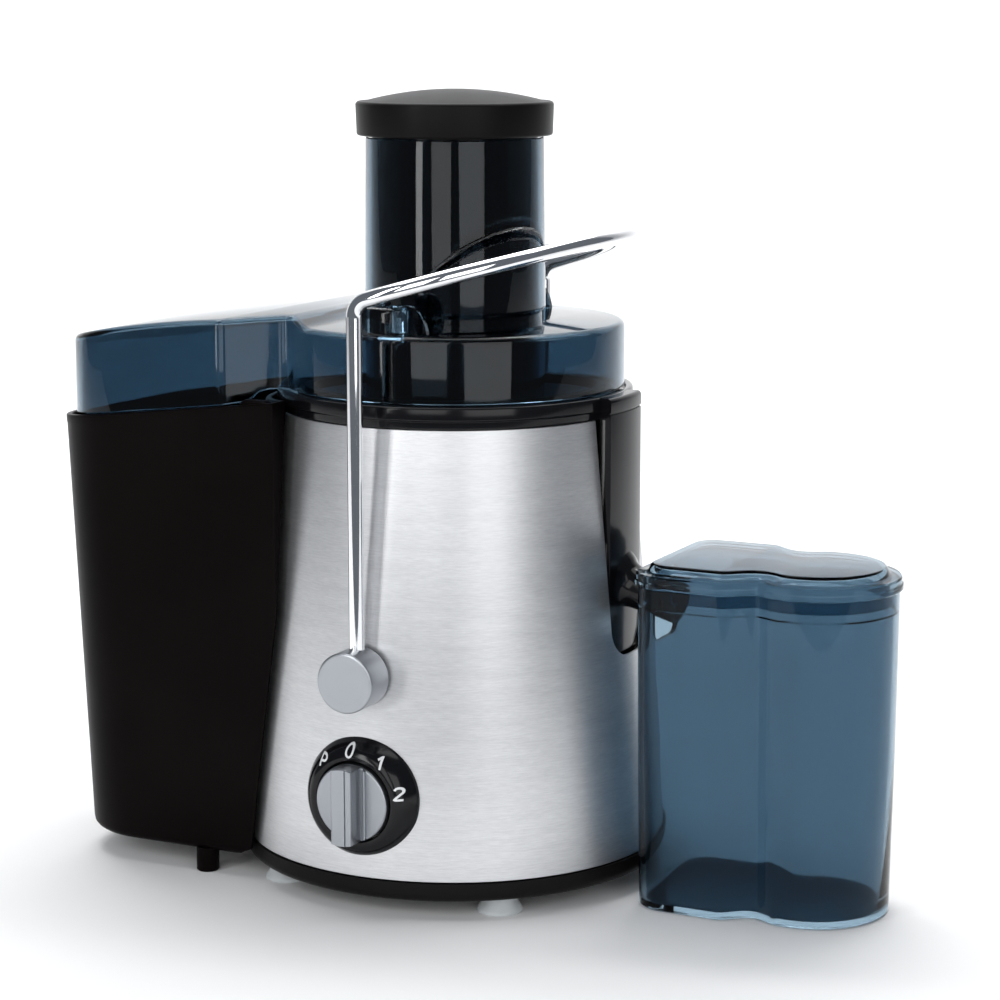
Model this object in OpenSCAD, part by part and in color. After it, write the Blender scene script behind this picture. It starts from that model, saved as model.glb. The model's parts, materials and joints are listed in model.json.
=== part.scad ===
// Centrifugal juicer. A motor in a flared body spins a sieve basket under a clear lid with a wide chute.
// Juice leaves through the spout into the jug at +X, pulp flies into the container at -X.
// Millimetres, +Z up, the dial at the front towards -Y.
// The origin is on the counter, under the middle of the box.
// Every sub-part is drawn about the motor's axis and moved from there to the origin by place().

/* [Body] */
// Outer radius of the steel skin at its lower edge
body_low_r = 98; // [92:1:108]
// Outer radius of the steel skin at its upper edge
body_top_r = 80.5; // [78:0.5:86]
// Height of the body's lower edge above the counter
body_low_z = 17; // [15:1:20]
// Height of the body's upper edge above the counter
body_top_z = 216; // [208:1:236]
// Wall of the plastic body shell behind the skin
shell_wall = 2.6; // [2:0.1:3.5]
// Thickness of the steel skin
skin_t = 0.8; // [0.5:0.1:1]
// Half of the angle that the skin leaves bare on the container's side
nest_half_angle = 43; // [35:1:55]
// Half width of the slot in the body for the apron and spout
slot_half_w = 17.5; // [16:0.5:20]
// Depth of the slot in the body below the spout's axis
slot_drop = 31.5; // [26:0.5:36]
// Radius of the slot's lower corners
slot_corner_r = 12; // [4:1:15]

/* [Base] */
// Height of the base tray's underside above the counter
foot_gap = 8; // [6:1:10]
// How far the base tray stands out of the skin's lower edge
tray_proud = 1.3; // [0.5:0.1:3]
// Thickness of the base tray's floor
tray_floor = 3; // [2.5:0.5:4]
// Radius of the tray's lower edge rounding
tray_round_r = 4; // [2:0.5:5]
// Radius of the circle that the feet stand on
foot_ring_r = 85; // [80:0.5:86]
// Angle between the jug's side and the nearest foot on that circle
foot_turn = 50; // [44:1:56]
// Radius of a suction foot at the counter
foot_r = 10.3; // [9:0.1:11]
// Radius of a suction foot's neck
foot_neck_r = 7.6; // [6:0.1:8]
// Radius of the stem that holds a foot in the tray
foot_stem_r = 4; // [3:0.5:5]

/* [Motor] */
// Radius of the rotor shaft
shaft_r = 4; // [3:0.5:5]
// Height of the motor's lower end below the stator stack
motor_drop = 34; // [30:1:36]
// Height between the stator stack's top and the deck, for the coils, the fan and the upper bracket
motor_room = 38; // [36:1:44]
// Height of the stator stack
stack_h = 34; // [26:1:36]
// Outer radius of the stator stack
stack_r = 42; // [40:1:46]
// Radius of the stator's bore
stator_bore_r = 24; // [22:0.5:26]
// Air gap between the stator's bore and the armature
air_gap = 0.6; // [0.4:0.1:1]
// Radius of the cooling fan
fan_r = 36; // [30:1:40]
// Outer radius of a bearing
bearing_r = 11; // [9:0.5:13]
// Height of a bearing
bearing_h = 7; // [6:0.5:7]

/* [Deck and collector] */
// Depth of the deck's underside below the body's upper edge
deck_drop = 60; // [58:0.5:64]
// Thickness of the deck
deck_t = 3; // [2.5:0.5:3]
// Gap between the deck and the collector's bowl
bowl_gap = 1.5; // [1:0.1:2]
// Gap between the bowl and the upper edge of the body's outer surface
bowl_inset = 5.5; // [5:0.1:8]
// Wall of the collector
bowl_wall = 2.4; // [2:0.1:2.8]
// Inner radius of the collar round the drive coupling
collar_r = 21.5; // [21:0.5:23]
// Height of the collector's rim ring
rim_h = 10; // [8:0.5:12]
// How far the collector's rim ring stands out of the body's upper edge
rim_proud = 1.5; // [1:0.1:3]
// How far the apron stands out of the body's upper edge
apron_proud = 7; // [5:0.5:8.5]
// How far the spout's tip reaches into the jug
spout_reach = 8; // [5:0.5:9]
// Depth of the spout's axis at the apron's face below the bowl
spout_drop = 21; // [20:0.5:24]
// How far the spout's root reaches into the channel behind the apron's face
spout_root = 6; // [5:0.5:7]
// Downward slope of the spout in degrees
spout_slope = 14; // [10:1:16]
// Outer radius of the spout
spout_r = 9.5; // [8:0.5:10]
// Wall of the spout
spout_wall = 2.2; // [1.8:0.1:2.6]

/* [Basket] */
// Depth of the basket floor's underside below the body's upper edge
basket_drop = 30; // [29:0.5:31]
// Gap between the feed chute and the sieve at the basket's floor
sieve_gap = 4.9; // [4:0.1:6]
// Gap between the sieve's top and the bowl's outer surface
sieve_inset = 10; // [9:0.5:14]
// Height from the basket's floor to the top of its rim
basket_h = 41; // [38:1:42]
// How much smaller than the chute's bore the grater disc is
grater_inset = 0.5; // [0:0.5:3]
// Radius of the drive coupling
coupling_r = 15; // [13:0.5:16]

/* [Lid] */
// How far the lid's round part stands inside the rim ring
lid_inset = 4; // [3:0.5:6]
// Wall of the lid
lid_wall = 2.4; // [2:0.1:3]
// Height of the lid's flat top above the collector's rim
lid_h = 30; // [28:1:34]
// Radius of the lid's top edge
lid_edge_r = 3; // [2:0.5:5]
// Inner radius of the feed chute
chute_r = 38.5; // [36:0.5:39]
// Wall of the feed chute
chute_wall = 2.6; // [2.2:0.1:3]
// Height of the chute's mouth above the lid's flat top
chute_h = 83; // [75:1:100]
// Gap between the grater disc's teeth and the chute's lower end
chute_gap = 3; // [2:0.5:4]

/* [Pusher] */
// Radial clearance of the pusher in the chute
pusher_clear = 0.7; // [0.5:0.1:1]
// How far the pusher's cap stands out of the chute
cap_proud = 4; // [3:0.1:7]
// Height of the cap's side
cap_side_h = 14.5; // [12:0.5:18]
// Height of the cap's dome above its side
cap_dome_h = 6.5; // [4:0.5:8]
// How high the pushed-in pusher stays above the chute's lower end
pusher_rise = 6.7; // [5:0.1:20]

/* [Pulp container] */
// Distance of the container's outer end from the motor's axis, at the rim
bin_end_x = 180.5; // [175:0.5:195]
// How much the container's outer end leans in from rim to floor
bin_draft = 9; // [6:1:18]
// How much narrower than the rim ring's radius the container's half width is
bin_inset = 4.2; // [3:0.1:6]
// Height of the container's floor above the counter
bin_low_z = 10.5; // [9:0.5:14]
// Depth of the container's rim at its outer end below the body's upper edge
bin_rim_drop = 8; // [5:1:16]
// Slope of the container's rim in degrees
bin_rim_slope = 6.7; // [5:0.1:8]
// Radius of the container's outer corners
bin_corner_r = 38; // [30:1:45]
// Wall of the container
bin_wall = 2.5; // [2:0.1:3]
// Gap between the container and the body it stands against
bin_gap = 3; // [2:0.5:4]
// Radius of the pegs under the container
peg_r = 5.3; // [4:0.1:7]

/* [Locking arm] */
// Radius of the arm's rod
rod_r = 3.5; // [3:0.1:4]
// Gap between the arm's leg and the face of the hub behind it
leg_gap = 0.83; // [0.6:0.01:3]
// Depth of the arm's pivots below the body's upper edge
pivot_drop = 109; // [104:1:112]
// Height of the corner where a leg meets the loop, above the lid's flat top
corner_rise = 16; // [13:1:28]
// Slope of the loop in degrees
loop_slope = 16.5; // [10:0.5:20]
// Reach of the loop along its slope
loop_reach = 85; // [80:1:92]
// Radius of the rod's centre line at the corners
corner_r = 8.5; // [8:0.5:12]
// Turn of the loop's wide end bend to each side in degrees
loop_turn = 47; // [44:1:50]
// Radius of a pivot hub
hub_r = 13.5; // [12:0.5:15]
// Thickness of a hub from the middle of the arm's leg to its outer face
hub_face_t = 12; // [9:0.5:14]
// Radius of a pivot pin
pin_r = 5; // [4:0.5:6]

/* [Dial] */
// Height of the dial's centre
dial_z = 52; // [50:1:56]
// Outer radius of the bezel
bezel_r = 27; // [25:0.5:29]
// Radius of the bezel's flat face
bezel_face_r = 22.5; // [21.5:0.5:26]
// How far the bezel's face stands out of the body under its lower edge
bezel_proud = 3.7; // [3:0.1:6]
// Radius of the knob
knob_r = 17.5; // [15:0.5:19]
// How far the knob's disc stands out of the bezel's face
knob_proud = 2; // [1.5:0.5:6]
// How far the grip bar stands out of the knob's disc
grip_h = 9.5; // [7:0.5:12]
// Width of the grip bar
grip_w = 10; // [8:0.5:12]

/* [Jug] */
// Gap between the base tray and the jug
jug_gap = 4.7; // [3:0.1:7]
// Length of the jug
jug_len = 110; // [104:1:120]
// Half width of the jug's inner lobe
jug_lobe_half_w = 40; // [38:1:42]
// Radius of the jug's outer lobe
jug_end_r = 36; // [34:1:37]
// Height of the jug's rim above the spout's axis at the apron's face
jug_rise = 7; // [6.5:0.5:12]
// Wall of the jug
jug_wall = 2.5; // [2:0.1:3]
// Radius of the jug's waist
waist_r = 13; // [11:0.5:15]
// Half width of the waist at its narrowest
waist_half_w = 30; // [29:0.5:31]
// Half width of the port for the spout
port_half_w = 14; // [13:0.5:15]
// Depth of the port below the jug's rim
port_drop = 30; // [26:1:34]
// How far the jug's lid stands out of the jug
jug_lid_proud = 1.5; // [1:0.1:2]
// Thickness of the jug lid's flange
jug_flange_h = 6; // [4:0.5:7]
// Height of the raised plate on the jug's lid
jug_plate_h = 4; // [3:0.5:6]

/* [Cord inlet] */
// Radius of the cord inlet's bore
inlet_r = 3.5; // [3:0.1:4.5]
// Height of the cord inlet
inlet_z = 32; // [30:1:40]

/* [Fits] */
// Gap between pieces of one body that rest on each other
seat_gap = 0.2; // [0.15:0.05:0.3]
// Radial clearance of a shaft in its bearing or of a pin in its hub
run_clear = 0.05; // [0.02:0.01:0.1]
// Gap between bodies that pass each other
pass_gap = 0.5; // [0.4:0.1:1]

/* [Hidden] */
$fn = 96;
tiny = 0.01;
far = 400;

// Radius of the body's outer surface at a height, where the skin lies flush with the bare shell
function body_r(z) = body_low_r + (body_top_r - body_low_r) * (z - body_low_z) / (body_top_z - body_low_z);
// Height of the container's sloping rim at a distance from the motor's axis towards -X
function rim_z(x) = bin_rim_z + (bin_end_x - x) * tan(bin_rim_slope);
// Height of the pulp cover's top at a distance from the motor's axis towards -X
function cover_z(x) = cover_high_z - 0.03 * (x - cover_start_x) - 0.0008 * pow(x - cover_start_x, 2);

recess_t = skin_t + seat_gap;
shell_t = shell_wall + recess_t;
tray_r = body_low_r + tray_proud;
deck_z = body_top_z - deck_drop;
bowl_low_z = deck_z + deck_t + bowl_gap;
bowl_r = body_top_r - bowl_inset;
rim_r = body_top_r + rim_proud;
apron_r = body_top_r + apron_proud;
spout_z = bowl_low_z - spout_drop;
slot_low_z = spout_z - slot_drop;
tray_rim_wall = 3.5;
rim_low_z = body_top_z + seat_gap;
rim_top_z = body_top_z + rim_h;

post_r = 5;
post_top_z = 40;
post_ring_r = body_r(post_top_z) - shell_t - post_r + 1.2;
post_turn = 20;
screw_r = 1.6;
screw_head_r = 3.4;
screw_head_h = 1.4;
screw_len = 18;
hole_clear = 0.15;

stack_top_z = deck_z - motor_room;
stack_low_z = stack_top_z - stack_h;
motor_low_z = stack_low_z - motor_drop;
shaft_low_z = motor_low_z - 4;
coil_t = 10;
coil_len = 52;
bracket_t = 3;
bracket_w = 22;
fan_low_z = stack_top_z + coil_t + 3;
fan_h = 6;
motor_top_z = fan_low_z + fan_h + 3;
rod_gap_r = stack_r + 5;
armature_r = stator_bore_r - air_gap;
brush_z = motor_low_z + bearing_h + 9;
commutator_r = 12;
commutator_h = 13;
mount_h = deck_z - motor_top_z - bracket_t - 2 * seat_gap;

teeth_h = 1.4;
grater_t = 1.2;
basket_floor_t = 3;
basket_z = body_top_z - basket_drop;
basket_floor_z = basket_z + basket_floor_t;
basket_top_z = basket_z + basket_h;
basket_rim_h = 5;
sieve_t = 0.6;
sieve_low_r = chute_r + chute_wall + sieve_gap;
sieve_top_r = bowl_r - sieve_inset;
grater_r = chute_r - grater_inset;
grater_z = basket_floor_z + seat_gap;
coupling_low_z = deck_z + deck_t + 5;
hub_low_z = coupling_low_z + 6;
basket_hub_wall = 3.5;

lid_r = rim_r - lid_inset;
lid_low_z = rim_top_z + seat_gap;
lid_top_z = rim_top_z + lid_h;
chute_out_r = chute_r + chute_wall;
chute_low_z = grater_z + grater_t + teeth_h + chute_gap;
chute_top_z = lid_top_z + chute_h;
cover_join_half_w = lid_r - 26;
cover_start_x = sqrt(pow(lid_r - 0.1, 2) - pow(cover_join_half_w, 2));
cover_high_z = lid_top_z + 4;
cover_end_x = bin_end_x - 4.3;
bin_half_w = rim_r - bin_inset;
bin_rim_z = body_top_z - bin_rim_drop;
cover_half_w = bin_half_w - 2.8;
cover_straight_x = cover_start_x + 22;
cover_corner_r = bin_corner_r - 1;
rim_clear_r = rim_r + 2.5;
lock_half_x = 9;
lock_near_y = lid_r - 20;
lock_far_y = lid_r - 1;
lock_top_z = lid_top_z + 12;

pusher_r = chute_r - pusher_clear;
pusher_wall = 2.2;
cap_low_z = chute_top_z + pass_gap;
cap_top_z = cap_low_z + cap_side_h + cap_dome_h;
cap_r = chute_out_r + cap_proud;
pusher_low_z = chute_low_z + pusher_rise;

bin_tip_x = 52;
peg_clear = 16.5;
bin_nest_low_r = body_r(bin_low_z) + bin_gap;
bin_nest_top_r = rim_clear_r + seat_gap;
bin_cut_z = rim_z(bin_tip_x) + 1;
peg_y = bin_half_w - peg_r - 1;
peg_x = sqrt(pow(bin_nest_low_r + peg_clear, 2) - pow(peg_y, 2));

pivot_z = body_top_z - pivot_drop;
corner_z = lid_top_z + corner_rise;
hub_back_y = body_r(pivot_z - hub_r) + 0.4;
leg_half_y = hub_back_y + leg_gap + rod_r;
hub_face_y = leg_half_y + hub_face_t;
tangent_len = corner_r * tan((90 - loop_slope) / 2);
// Hairline between two stretches of the rod, which keeps each stretch a true cylinder or torus
link = 0.02;
loop_start = tangent_len + link;
// The two radii of the loop follow from its width, its reach and the turn of its end bend
loop_w = leg_half_y - link * cos(loop_turn);
loop_l = loop_reach - loop_start - link * sin(loop_turn);
loop_det = 1 - sin(loop_turn) - cos(loop_turn);
loop_side_r = (loop_w * (1 - cos(loop_turn)) - sin(loop_turn) * loop_l) / loop_det;
loop_end_r = ((1 - sin(loop_turn)) * loop_l - cos(loop_turn) * loop_w) / loop_det;
leg_low_z = pivot_z + hub_r - 7;

bezel_face_y = body_r(dial_z - bezel_r) + bezel_proud;
bezel_bore_r = knob_r + 0.8;
switch_half_w = 15;
switch_depth = 24;
switch_shaft_r = 3;
dial_wall_y = body_r(dial_z);

jug_corner_r = 16;
jug_near_x = max(tray_r + jug_gap, apron_r + 4);
jug_far_x = jug_near_x + jug_len;
jug_h = spout_z + jug_rise;
port_z = jug_h - port_drop;
spout_tip_x = jug_near_x + spout_reach;
jug_end_x = jug_far_x - jug_end_r;
waist_x = jug_near_x + 59;
jug_lid_low_z = jug_h + seat_gap;
jug_flange_z = jug_h + jug_flange_h;
jug_lid_top_z = jug_flange_z + jug_plate_h;

inlet_len = 15;
inlet_y = body_r(inlet_z);

// The whole object's box, which sets the origin
box_left_x = -bin_end_x;
box_right_x = jug_far_x + jug_lid_proud;
box_front_y = -(bezel_face_y + knob_proud + grip_h);
box_back_y = hub_face_y;

black = [0.05, 0.05, 0.06];
smoke = [0.35, 0.45, 0.55, 0.6];
steel = [0.78, 0.79, 0.8];
chrome = [0.85, 0.86, 0.88];
copper = [0.72, 0.42, 0.2];
iron = [0.45, 0.46, 0.48];

// Moves what is drawn about the motor's axis so that the origin is under the middle of the whole box
module place() {
    translate([-(box_left_x + box_right_x) / 2, -(box_front_y + box_back_y) / 2, 0]) children();
}

// A tube about Z with its lower end at z
module ring(outer, inner, z, h) {
    translate([0, 0, z]) difference() {
        cylinder(r = outer, h = h);
        translate([0, 0, -1]) cylinder(r = inner, h = h + 2);
    }
}

// A cylinder about Z with its lower end at z
module disc(r, z, h) {
    translate([0, 0, z]) cylinder(r = r, h = h);
}

// Extrudes an outline in Y and Z along +X
module along_x(h) {
    rotate([90, 0, 90]) linear_extrude(h) children();
}

// Extrudes an outline in X and Z to both sides of the middle plane
module across(half_w) {
    rotate([90, 0, 0]) translate([0, 0, -half_w]) linear_extrude(2 * half_w) children();
}

// A cylinder that points to the front, from the distance near_y to far_y
module to_front(r, near_y, far_y) {
    rotate([90, 0, 0]) translate([0, 0, near_y]) cylinder(r = r, h = far_y - near_y);
}

// The same shape at four places round the motor's axis
module four_round(r, turn = 45) {
    for (i = [0:3]) rotate([0, 0, turn + 90 * i]) translate([r, 0, 0]) children();
}

// The same shape over each foot
module at_feet() {
    for (a = [foot_turn, 180 - foot_turn, 180 + foot_turn, -foot_turn])
        rotate([0, 0, a]) translate([foot_ring_r, 0, 0]) children();
}

// A cone that follows the body's outer surface at a distance inwards
module body_cone(inset, z0, z1) {
    translate([0, 0, z0]) cylinder(r1 = body_r(z0) - inset, r2 = body_r(z1) - inset, h = z1 - z0);
}

// The U-shaped slot on the jug's side, widened by grow
module slot_cut(grow = 0) {
    w = slot_half_w + grow;
    low = slot_low_z - grow;
    translate([40, 0, 0]) along_x(80) {
        translate([-w, low + slot_corner_r]) square([2 * w, far]);
        translate([-w + slot_corner_r, low]) square([2 * (w - slot_corner_r), far]);
        for (s = [-1, 1]) translate([s * (w - slot_corner_r), low + slot_corner_r])
            circle(r = slot_corner_r);
    }
}

module base_tray() {
    rim_in_r = tray_r - tray_rim_wall;
    corner = [for (a = [-90:15:0]) [tray_r - tray_round_r + tray_round_r * cos(a),
        foot_gap + tray_round_r + tray_round_r * sin(a)]];
    color(black) place() difference() {
        rotate_extrude() polygon(concat([[0, foot_gap]], corner, [
            [tray_r, body_low_z - seat_gap],
            [rim_in_r, body_low_z - seat_gap],
            [rim_in_r, foot_gap + tray_floor],
            [0, foot_gap + tray_floor]]));
        at_feet() disc(foot_stem_r + hole_clear, 0, far);
        four_round(post_ring_r, post_turn) {
            disc(screw_r + hole_clear, 0, far);
            disc(screw_head_r + hole_clear, 0, foot_gap + screw_head_h + 0.4);
        }
        // Cooling slots under the motor
        for (i = [-4:4]) translate([i * 9 - 2, -28, 0]) cube([4, 56, far]);
    }
}

module suction_feet() {
    color([0.8, 0.82, 0.82]) place() at_feet() difference() {
        rotate_extrude() polygon([[0, 0], [foot_r, 0], [foot_r, 1.2], [foot_r - 2.4, 4], [foot_neck_r, 5.2],
            [foot_neck_r, foot_gap - seat_gap], [foot_stem_r, foot_gap - seat_gap],
            [foot_stem_r, foot_gap + tray_floor + 2], [0, foot_gap + tray_floor + 2]]);
        translate([0, 0, -1]) cylinder(r1 = foot_r - 1, r2 = 2, h = 3.4);
    }
}

module base_screws() {
    color(steel) place() four_round(post_ring_r, post_turn) {
        disc(screw_head_r, foot_gap + 0.2, screw_head_h);
        disc(screw_r, foot_gap + 0.2, screw_len);
    }
}

module body_shell() {
    z0 = body_low_z;
    z1 = body_top_z;
    half = 180 - nest_half_angle;
    color(black) place() difference() {
        union() {
            difference() {
                body_cone(0, z0, z1);
                body_cone(shell_t, z0 - 1, z1 + 1);
            }
            four_round(post_ring_r, post_turn) disc(post_r, foot_gap + tray_floor + seat_gap,
                post_top_z - foot_gap - tray_floor);
        }
        // Recess for the steel skin
        rotate([0, 0, -half]) rotate_extrude(angle = 2 * half) polygon([
            [body_r(z0 - 1) - recess_t, z0 - 1], [body_r(z0 - 1) + 9, z0 - 1],
            [body_r(z1 + 1) + 9, z1 + 1], [body_r(z1 + 1) - recess_t, z1 + 1]]);
        slot_cut();
        four_round(post_ring_r, post_turn) disc(screw_r, 0, foot_gap + screw_len + 3);
        translate([0, 0, dial_z]) to_front(switch_shaft_r + 1, 60, far);
        for (s = [0, 180]) rotate([0, 0, s]) translate([0, 0, pivot_z]) to_front(pin_r + seat_gap, 60, far);
        translate([0, 0, inlet_z]) rotate([0, 0, 180]) to_front(inlet_r + 2.5 + seat_gap, 60, far);
    }
}

module steel_skin() {
    z0 = body_low_z + seat_gap;
    z1 = body_top_z - seat_gap;
    half = 180 - nest_half_angle - 0.3;
    color(steel) place() difference() {
        rotate([0, 0, -half]) rotate_extrude(angle = 2 * half) polygon([
            [body_r(z0) - skin_t, z0], [body_r(z0), z0], [body_r(z1), z1], [body_r(z1) - skin_t, z1]]);
        slot_cut();
        translate([0, 0, dial_z]) to_front(bezel_bore_r + 2, 60, far);
        for (s = [0, 180]) rotate([0, 0, s]) translate([0, 0, pivot_z]) to_front(pin_r + seat_gap, 60, far);
        translate([0, 0, inlet_z]) rotate([0, 0, 180]) to_front(inlet_r + 2.5 + seat_gap, 60, far);
    }
}

module deck() {
    color(black) place() difference() {
        disc(body_r(deck_z + deck_t) - shell_t - seat_gap, deck_z, deck_t);
        disc(14 + seat_gap, 0, far);
        four_round(rod_gap_r) disc(screw_r + hole_clear, 0, far);
        translate([bowl_r - 10, -slot_half_w - 1, 0]) cube([60, 2 * slot_half_w + 2, far]);
    }
}

module shaft_seal() {
    color([0.1, 0.1, 0.1]) place() difference() {
        union() {
            disc(14, deck_z, deck_t + 1);
            disc(10, deck_z - 2, deck_t + 6);
        }
        disc(shaft_r + run_clear, 0, far);
    }
}

module motor_mounts() {
    color([0.12, 0.12, 0.12]) place() four_round(rod_gap_r)
        ring(6, screw_r + hole_clear, motor_top_z + bracket_t + seat_gap, mount_h);
}

// A cross of two bars with a bearing cup in the middle
module motor_bracket(z) {
    difference() {
        union() {
            for (a = [45, 135]) rotate([0, 0, a]) translate([-rod_gap_r - 6, -bracket_w / 2, z])
                cube([2 * rod_gap_r + 12, bracket_w, bracket_t]);
            disc(bearing_r + 3, z, bearing_h + 1.5);
        }
        disc(bearing_r + hole_clear, z - 1, bearing_h + 1);
        disc(shaft_r + 1.5, 0, far);
        four_round(rod_gap_r) disc(screw_r + hole_clear, 0, far);
    }
}

module motor_upper_bracket() {
    color(iron) place() motor_bracket(motor_top_z);
}

module motor_lower_bracket() {
    color(iron) place() motor_bracket(motor_low_z);
}

module bearing(z) {
    ring(bearing_r, shaft_r + run_clear, z, bearing_h - seat_gap);
}

module upper_bearing() {
    color(chrome) place() bearing(motor_top_z);
}

module lower_bearing() {
    color(chrome) place() bearing(motor_low_z);
}

module stator_stack() {
    color(iron) place() difference() {
        disc(stack_r, stack_low_z, stack_h);
        disc(stator_bore_r, 0, far);
        // Windows for the coils beside the two poles
        for (s = [-1, 1]) translate([s > 0 ? stator_bore_r + 1 : -stator_bore_r - 1 - coil_t,
            -coil_len / 2 + 8, 0]) cube([coil_t, coil_len - 16, far]);
        four_round(rod_gap_r) disc(screw_r + hole_clear, 0, far);
        for (s = [0, 180]) rotate([0, 0, s]) translate([stack_r - 3, -far / 2, 0]) cube([20, far, far]);
    }
}

// A field coil: a rectangular winding round one pole
module field_coils() {
    grow = 0.4;
    color(copper) place() for (s = [0, 180]) rotate([0, 0, s]) difference() {
        translate([stator_bore_r + 1 + grow, -coil_len / 2 + 8 + grow, stack_low_z - coil_t])
            cube([coil_t - 2 * grow, coil_len - 16 - 2 * grow, stack_h + 2 * coil_t]);
        disc(stator_bore_r, 0, far);
    }
}

module brush_holders() {
    color([0.75, 0.65, 0.3]) place() for (s = [0, 180]) rotate([0, 0, s]) difference() {
        translate([commutator_r + 3, -6, brush_z - 5]) cube([20, 12, 10]);
        translate([0, -3.2, brush_z - 3.2]) cube([commutator_r + 21, 6.4, 6.4]);
    }
}

module carbon_brushes() {
    color([0.2, 0.2, 0.22]) place() for (s = [0, 180]) rotate([0, 0, s])
        translate([commutator_r + pass_gap, -3, brush_z - 3]) cube([18, 6, 6]);
}

module motor_screws() {
    z0 = motor_low_z - screw_head_h - seat_gap;
    color(steel) place() four_round(rod_gap_r) {
        disc(screw_head_r, z0, screw_head_h);
        disc(screw_r, z0, deck_z + deck_t - z0);
        disc(screw_head_r, deck_z + deck_t + seat_gap, screw_head_h - 0.4);
        disc(screw_r, deck_z, deck_t + seat_gap + 0.5);
    }
}

module rotor_shaft() {
    color(chrome) place() disc(shaft_r, shaft_low_z, basket_z - 6 - shaft_low_z);
}

// A piece of the rotor: a ring that sits on the shaft
module on_shaft(r, z, h) {
    ring(r, shaft_r + run_clear, z, h);
}

module armature() {
    color(copper) place() difference() {
        union() {
            on_shaft(armature_r, stack_low_z, stack_h);
            on_shaft(armature_r - 5, stack_low_z - coil_t + 3, stack_h + 2 * coil_t - 6);
        }
        for (i = [0:11]) rotate([0, 0, 30 * i]) translate([armature_r - 1.5, -0.8, 0]) cube([4, 1.6, far]);
    }
}

module commutator() {
    color(copper) place() difference() {
        on_shaft(commutator_r, brush_z - commutator_h / 2, commutator_h);
        for (i = [0:11]) rotate([0, 0, 30 * i + 15])
            translate([commutator_r - 0.6, -0.3, 0]) cube([2, 0.6, far]);
    }
}

module cooling_fan() {
    blades = 9;
    color(black) place() difference() {
        union() {
            on_shaft(8, fan_low_z, fan_h);
            on_shaft(fan_r, fan_low_z, 1.2);
            for (i = [0:blades - 1]) rotate([0, 0, 360 / blades * i]) translate([6, -0.7, fan_low_z])
                cube([fan_r - 7, 1.4, fan_h]);
        }
        disc(shaft_r + run_clear, 0, far);
    }
}

module drive_coupling() {
    color([0.85, 0.85, 0.82]) place() difference() {
        on_shaft(coupling_r, coupling_low_z, basket_z - 4 - coupling_low_z);
        for (i = [0:2]) rotate([0, 0, 120 * i]) translate([8, -2, basket_z - 9]) cube([20, 4, far]);
    }
}

module basket_base() {
    hub_in_r = coupling_r + seat_gap;
    color(black) place() {
        difference() {
            union() {
                disc(sieve_low_r - seat_gap, basket_z, basket_floor_t);
                disc(hub_in_r + basket_hub_wall, hub_low_z, basket_z - hub_low_z);
            }
            disc(hub_in_r, 0, basket_z - 3);
            disc(grater_r + hole_clear, basket_floor_z - 0.8, 5);
        }
    }
}

module sieve_wall() {
    z0 = basket_z;
    z1 = basket_top_z - basket_rim_h - seat_gap;
    color(steel) place() difference() {
        translate([0, 0, z0]) cylinder(r1 = sieve_low_r + sieve_t, r2 = sieve_top_r + sieve_t, h = z1 - z0);
        translate([0, 0, z0]) cylinder(r1 = sieve_low_r, r2 = sieve_top_r, h = z1 - z0);
    }
}

module basket_rim() {
    color(black) place() ring(sieve_top_r + 4, sieve_top_r, basket_top_z - basket_rim_h, basket_rim_h);
}

module grater_disc() {
    z = grater_z - 0.8;
    rows = [12, 18, 24, 30, 35];
    color(steel) place() {
        disc(grater_r, z, grater_t);
        for (i = [0:len(rows) - 1]) for (k = [0:5 + 2 * i])
            rotate([0, 0, 360 / (6 + 2 * i) * k + 11 * i]) translate([rows[i], -1.6, z])
                cube([0.8, 3.2, grater_t + teeth_h]);
    }
}

module juice_collector() {
    floor_z = bowl_low_z + bowl_wall;
    half = slot_half_w - pass_gap;
    box_low_z = spout_z - 15;
    box_wall = 2.6;
    color(black) place() difference() {
        union() {
            // Bowl
            ring(bowl_r, bowl_r - bowl_wall, bowl_low_z, rim_low_z - bowl_low_z + 1);
            ring(bowl_r - 1, collar_r, bowl_low_z, bowl_wall);
            ring(collar_r + bowl_wall, collar_r, bowl_low_z, basket_z - bowl_low_z - 4);
            // Rim ring with its lip over the body's edge
            ring(rim_r, bowl_r - bowl_wall, rim_low_z, rim_h - seat_gap);
            // Apron in the slot, and the block that joins it to the rim
            intersection() {
                ring(apron_r, apron_r - 3.5, slot_low_z, rim_top_z - slot_low_z - seat_gap);
                slot_cut(-pass_gap);
            }
            intersection() {
                ring(apron_r, bowl_r - 1, rim_low_z, rim_h - seat_gap);
                translate([40, -half, 0]) cube([80, 2 * half, far]);
            }
            // Channel from the bowl down to the spout
            intersection() {
                disc(apron_r - 1, box_low_z, floor_z - box_low_z);
                translate([bowl_r - 8, -half, 0]) cube([80, 2 * half, far]);
            }
        }
        // Cavity of the channel
        intersection() {
            disc(apron_r - 3.5, box_low_z + box_wall, floor_z - box_low_z - box_wall + 9);
            translate([bowl_r - 8 + box_wall, box_wall - half, 0]) cube([80, 2 * (half - box_wall), far]);
        }
        along_spout() disc(spout_r + seat_gap, -spout_root, 2 * spout_root);
    }
}

// Turns Z to the axis of the spout, with the start on the apron's face
module along_spout() {
    translate([apron_r, 0, spout_z]) rotate([0, 90 + spout_slope, 0]) children();
}

module spout() {
    tip_len = (spout_tip_x - apron_r) / cos(spout_slope);
    color(black) place() along_spout()
        ring(spout_r, spout_r - spout_wall, -spout_root, tip_len + spout_root);
}

module lid_seal() {
    color([0.15, 0.15, 0.16]) place()
        ring(bowl_r - bowl_wall - seat_gap, bowl_r - bowl_wall - 2, rim_top_z - 4, 3);
}

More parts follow.
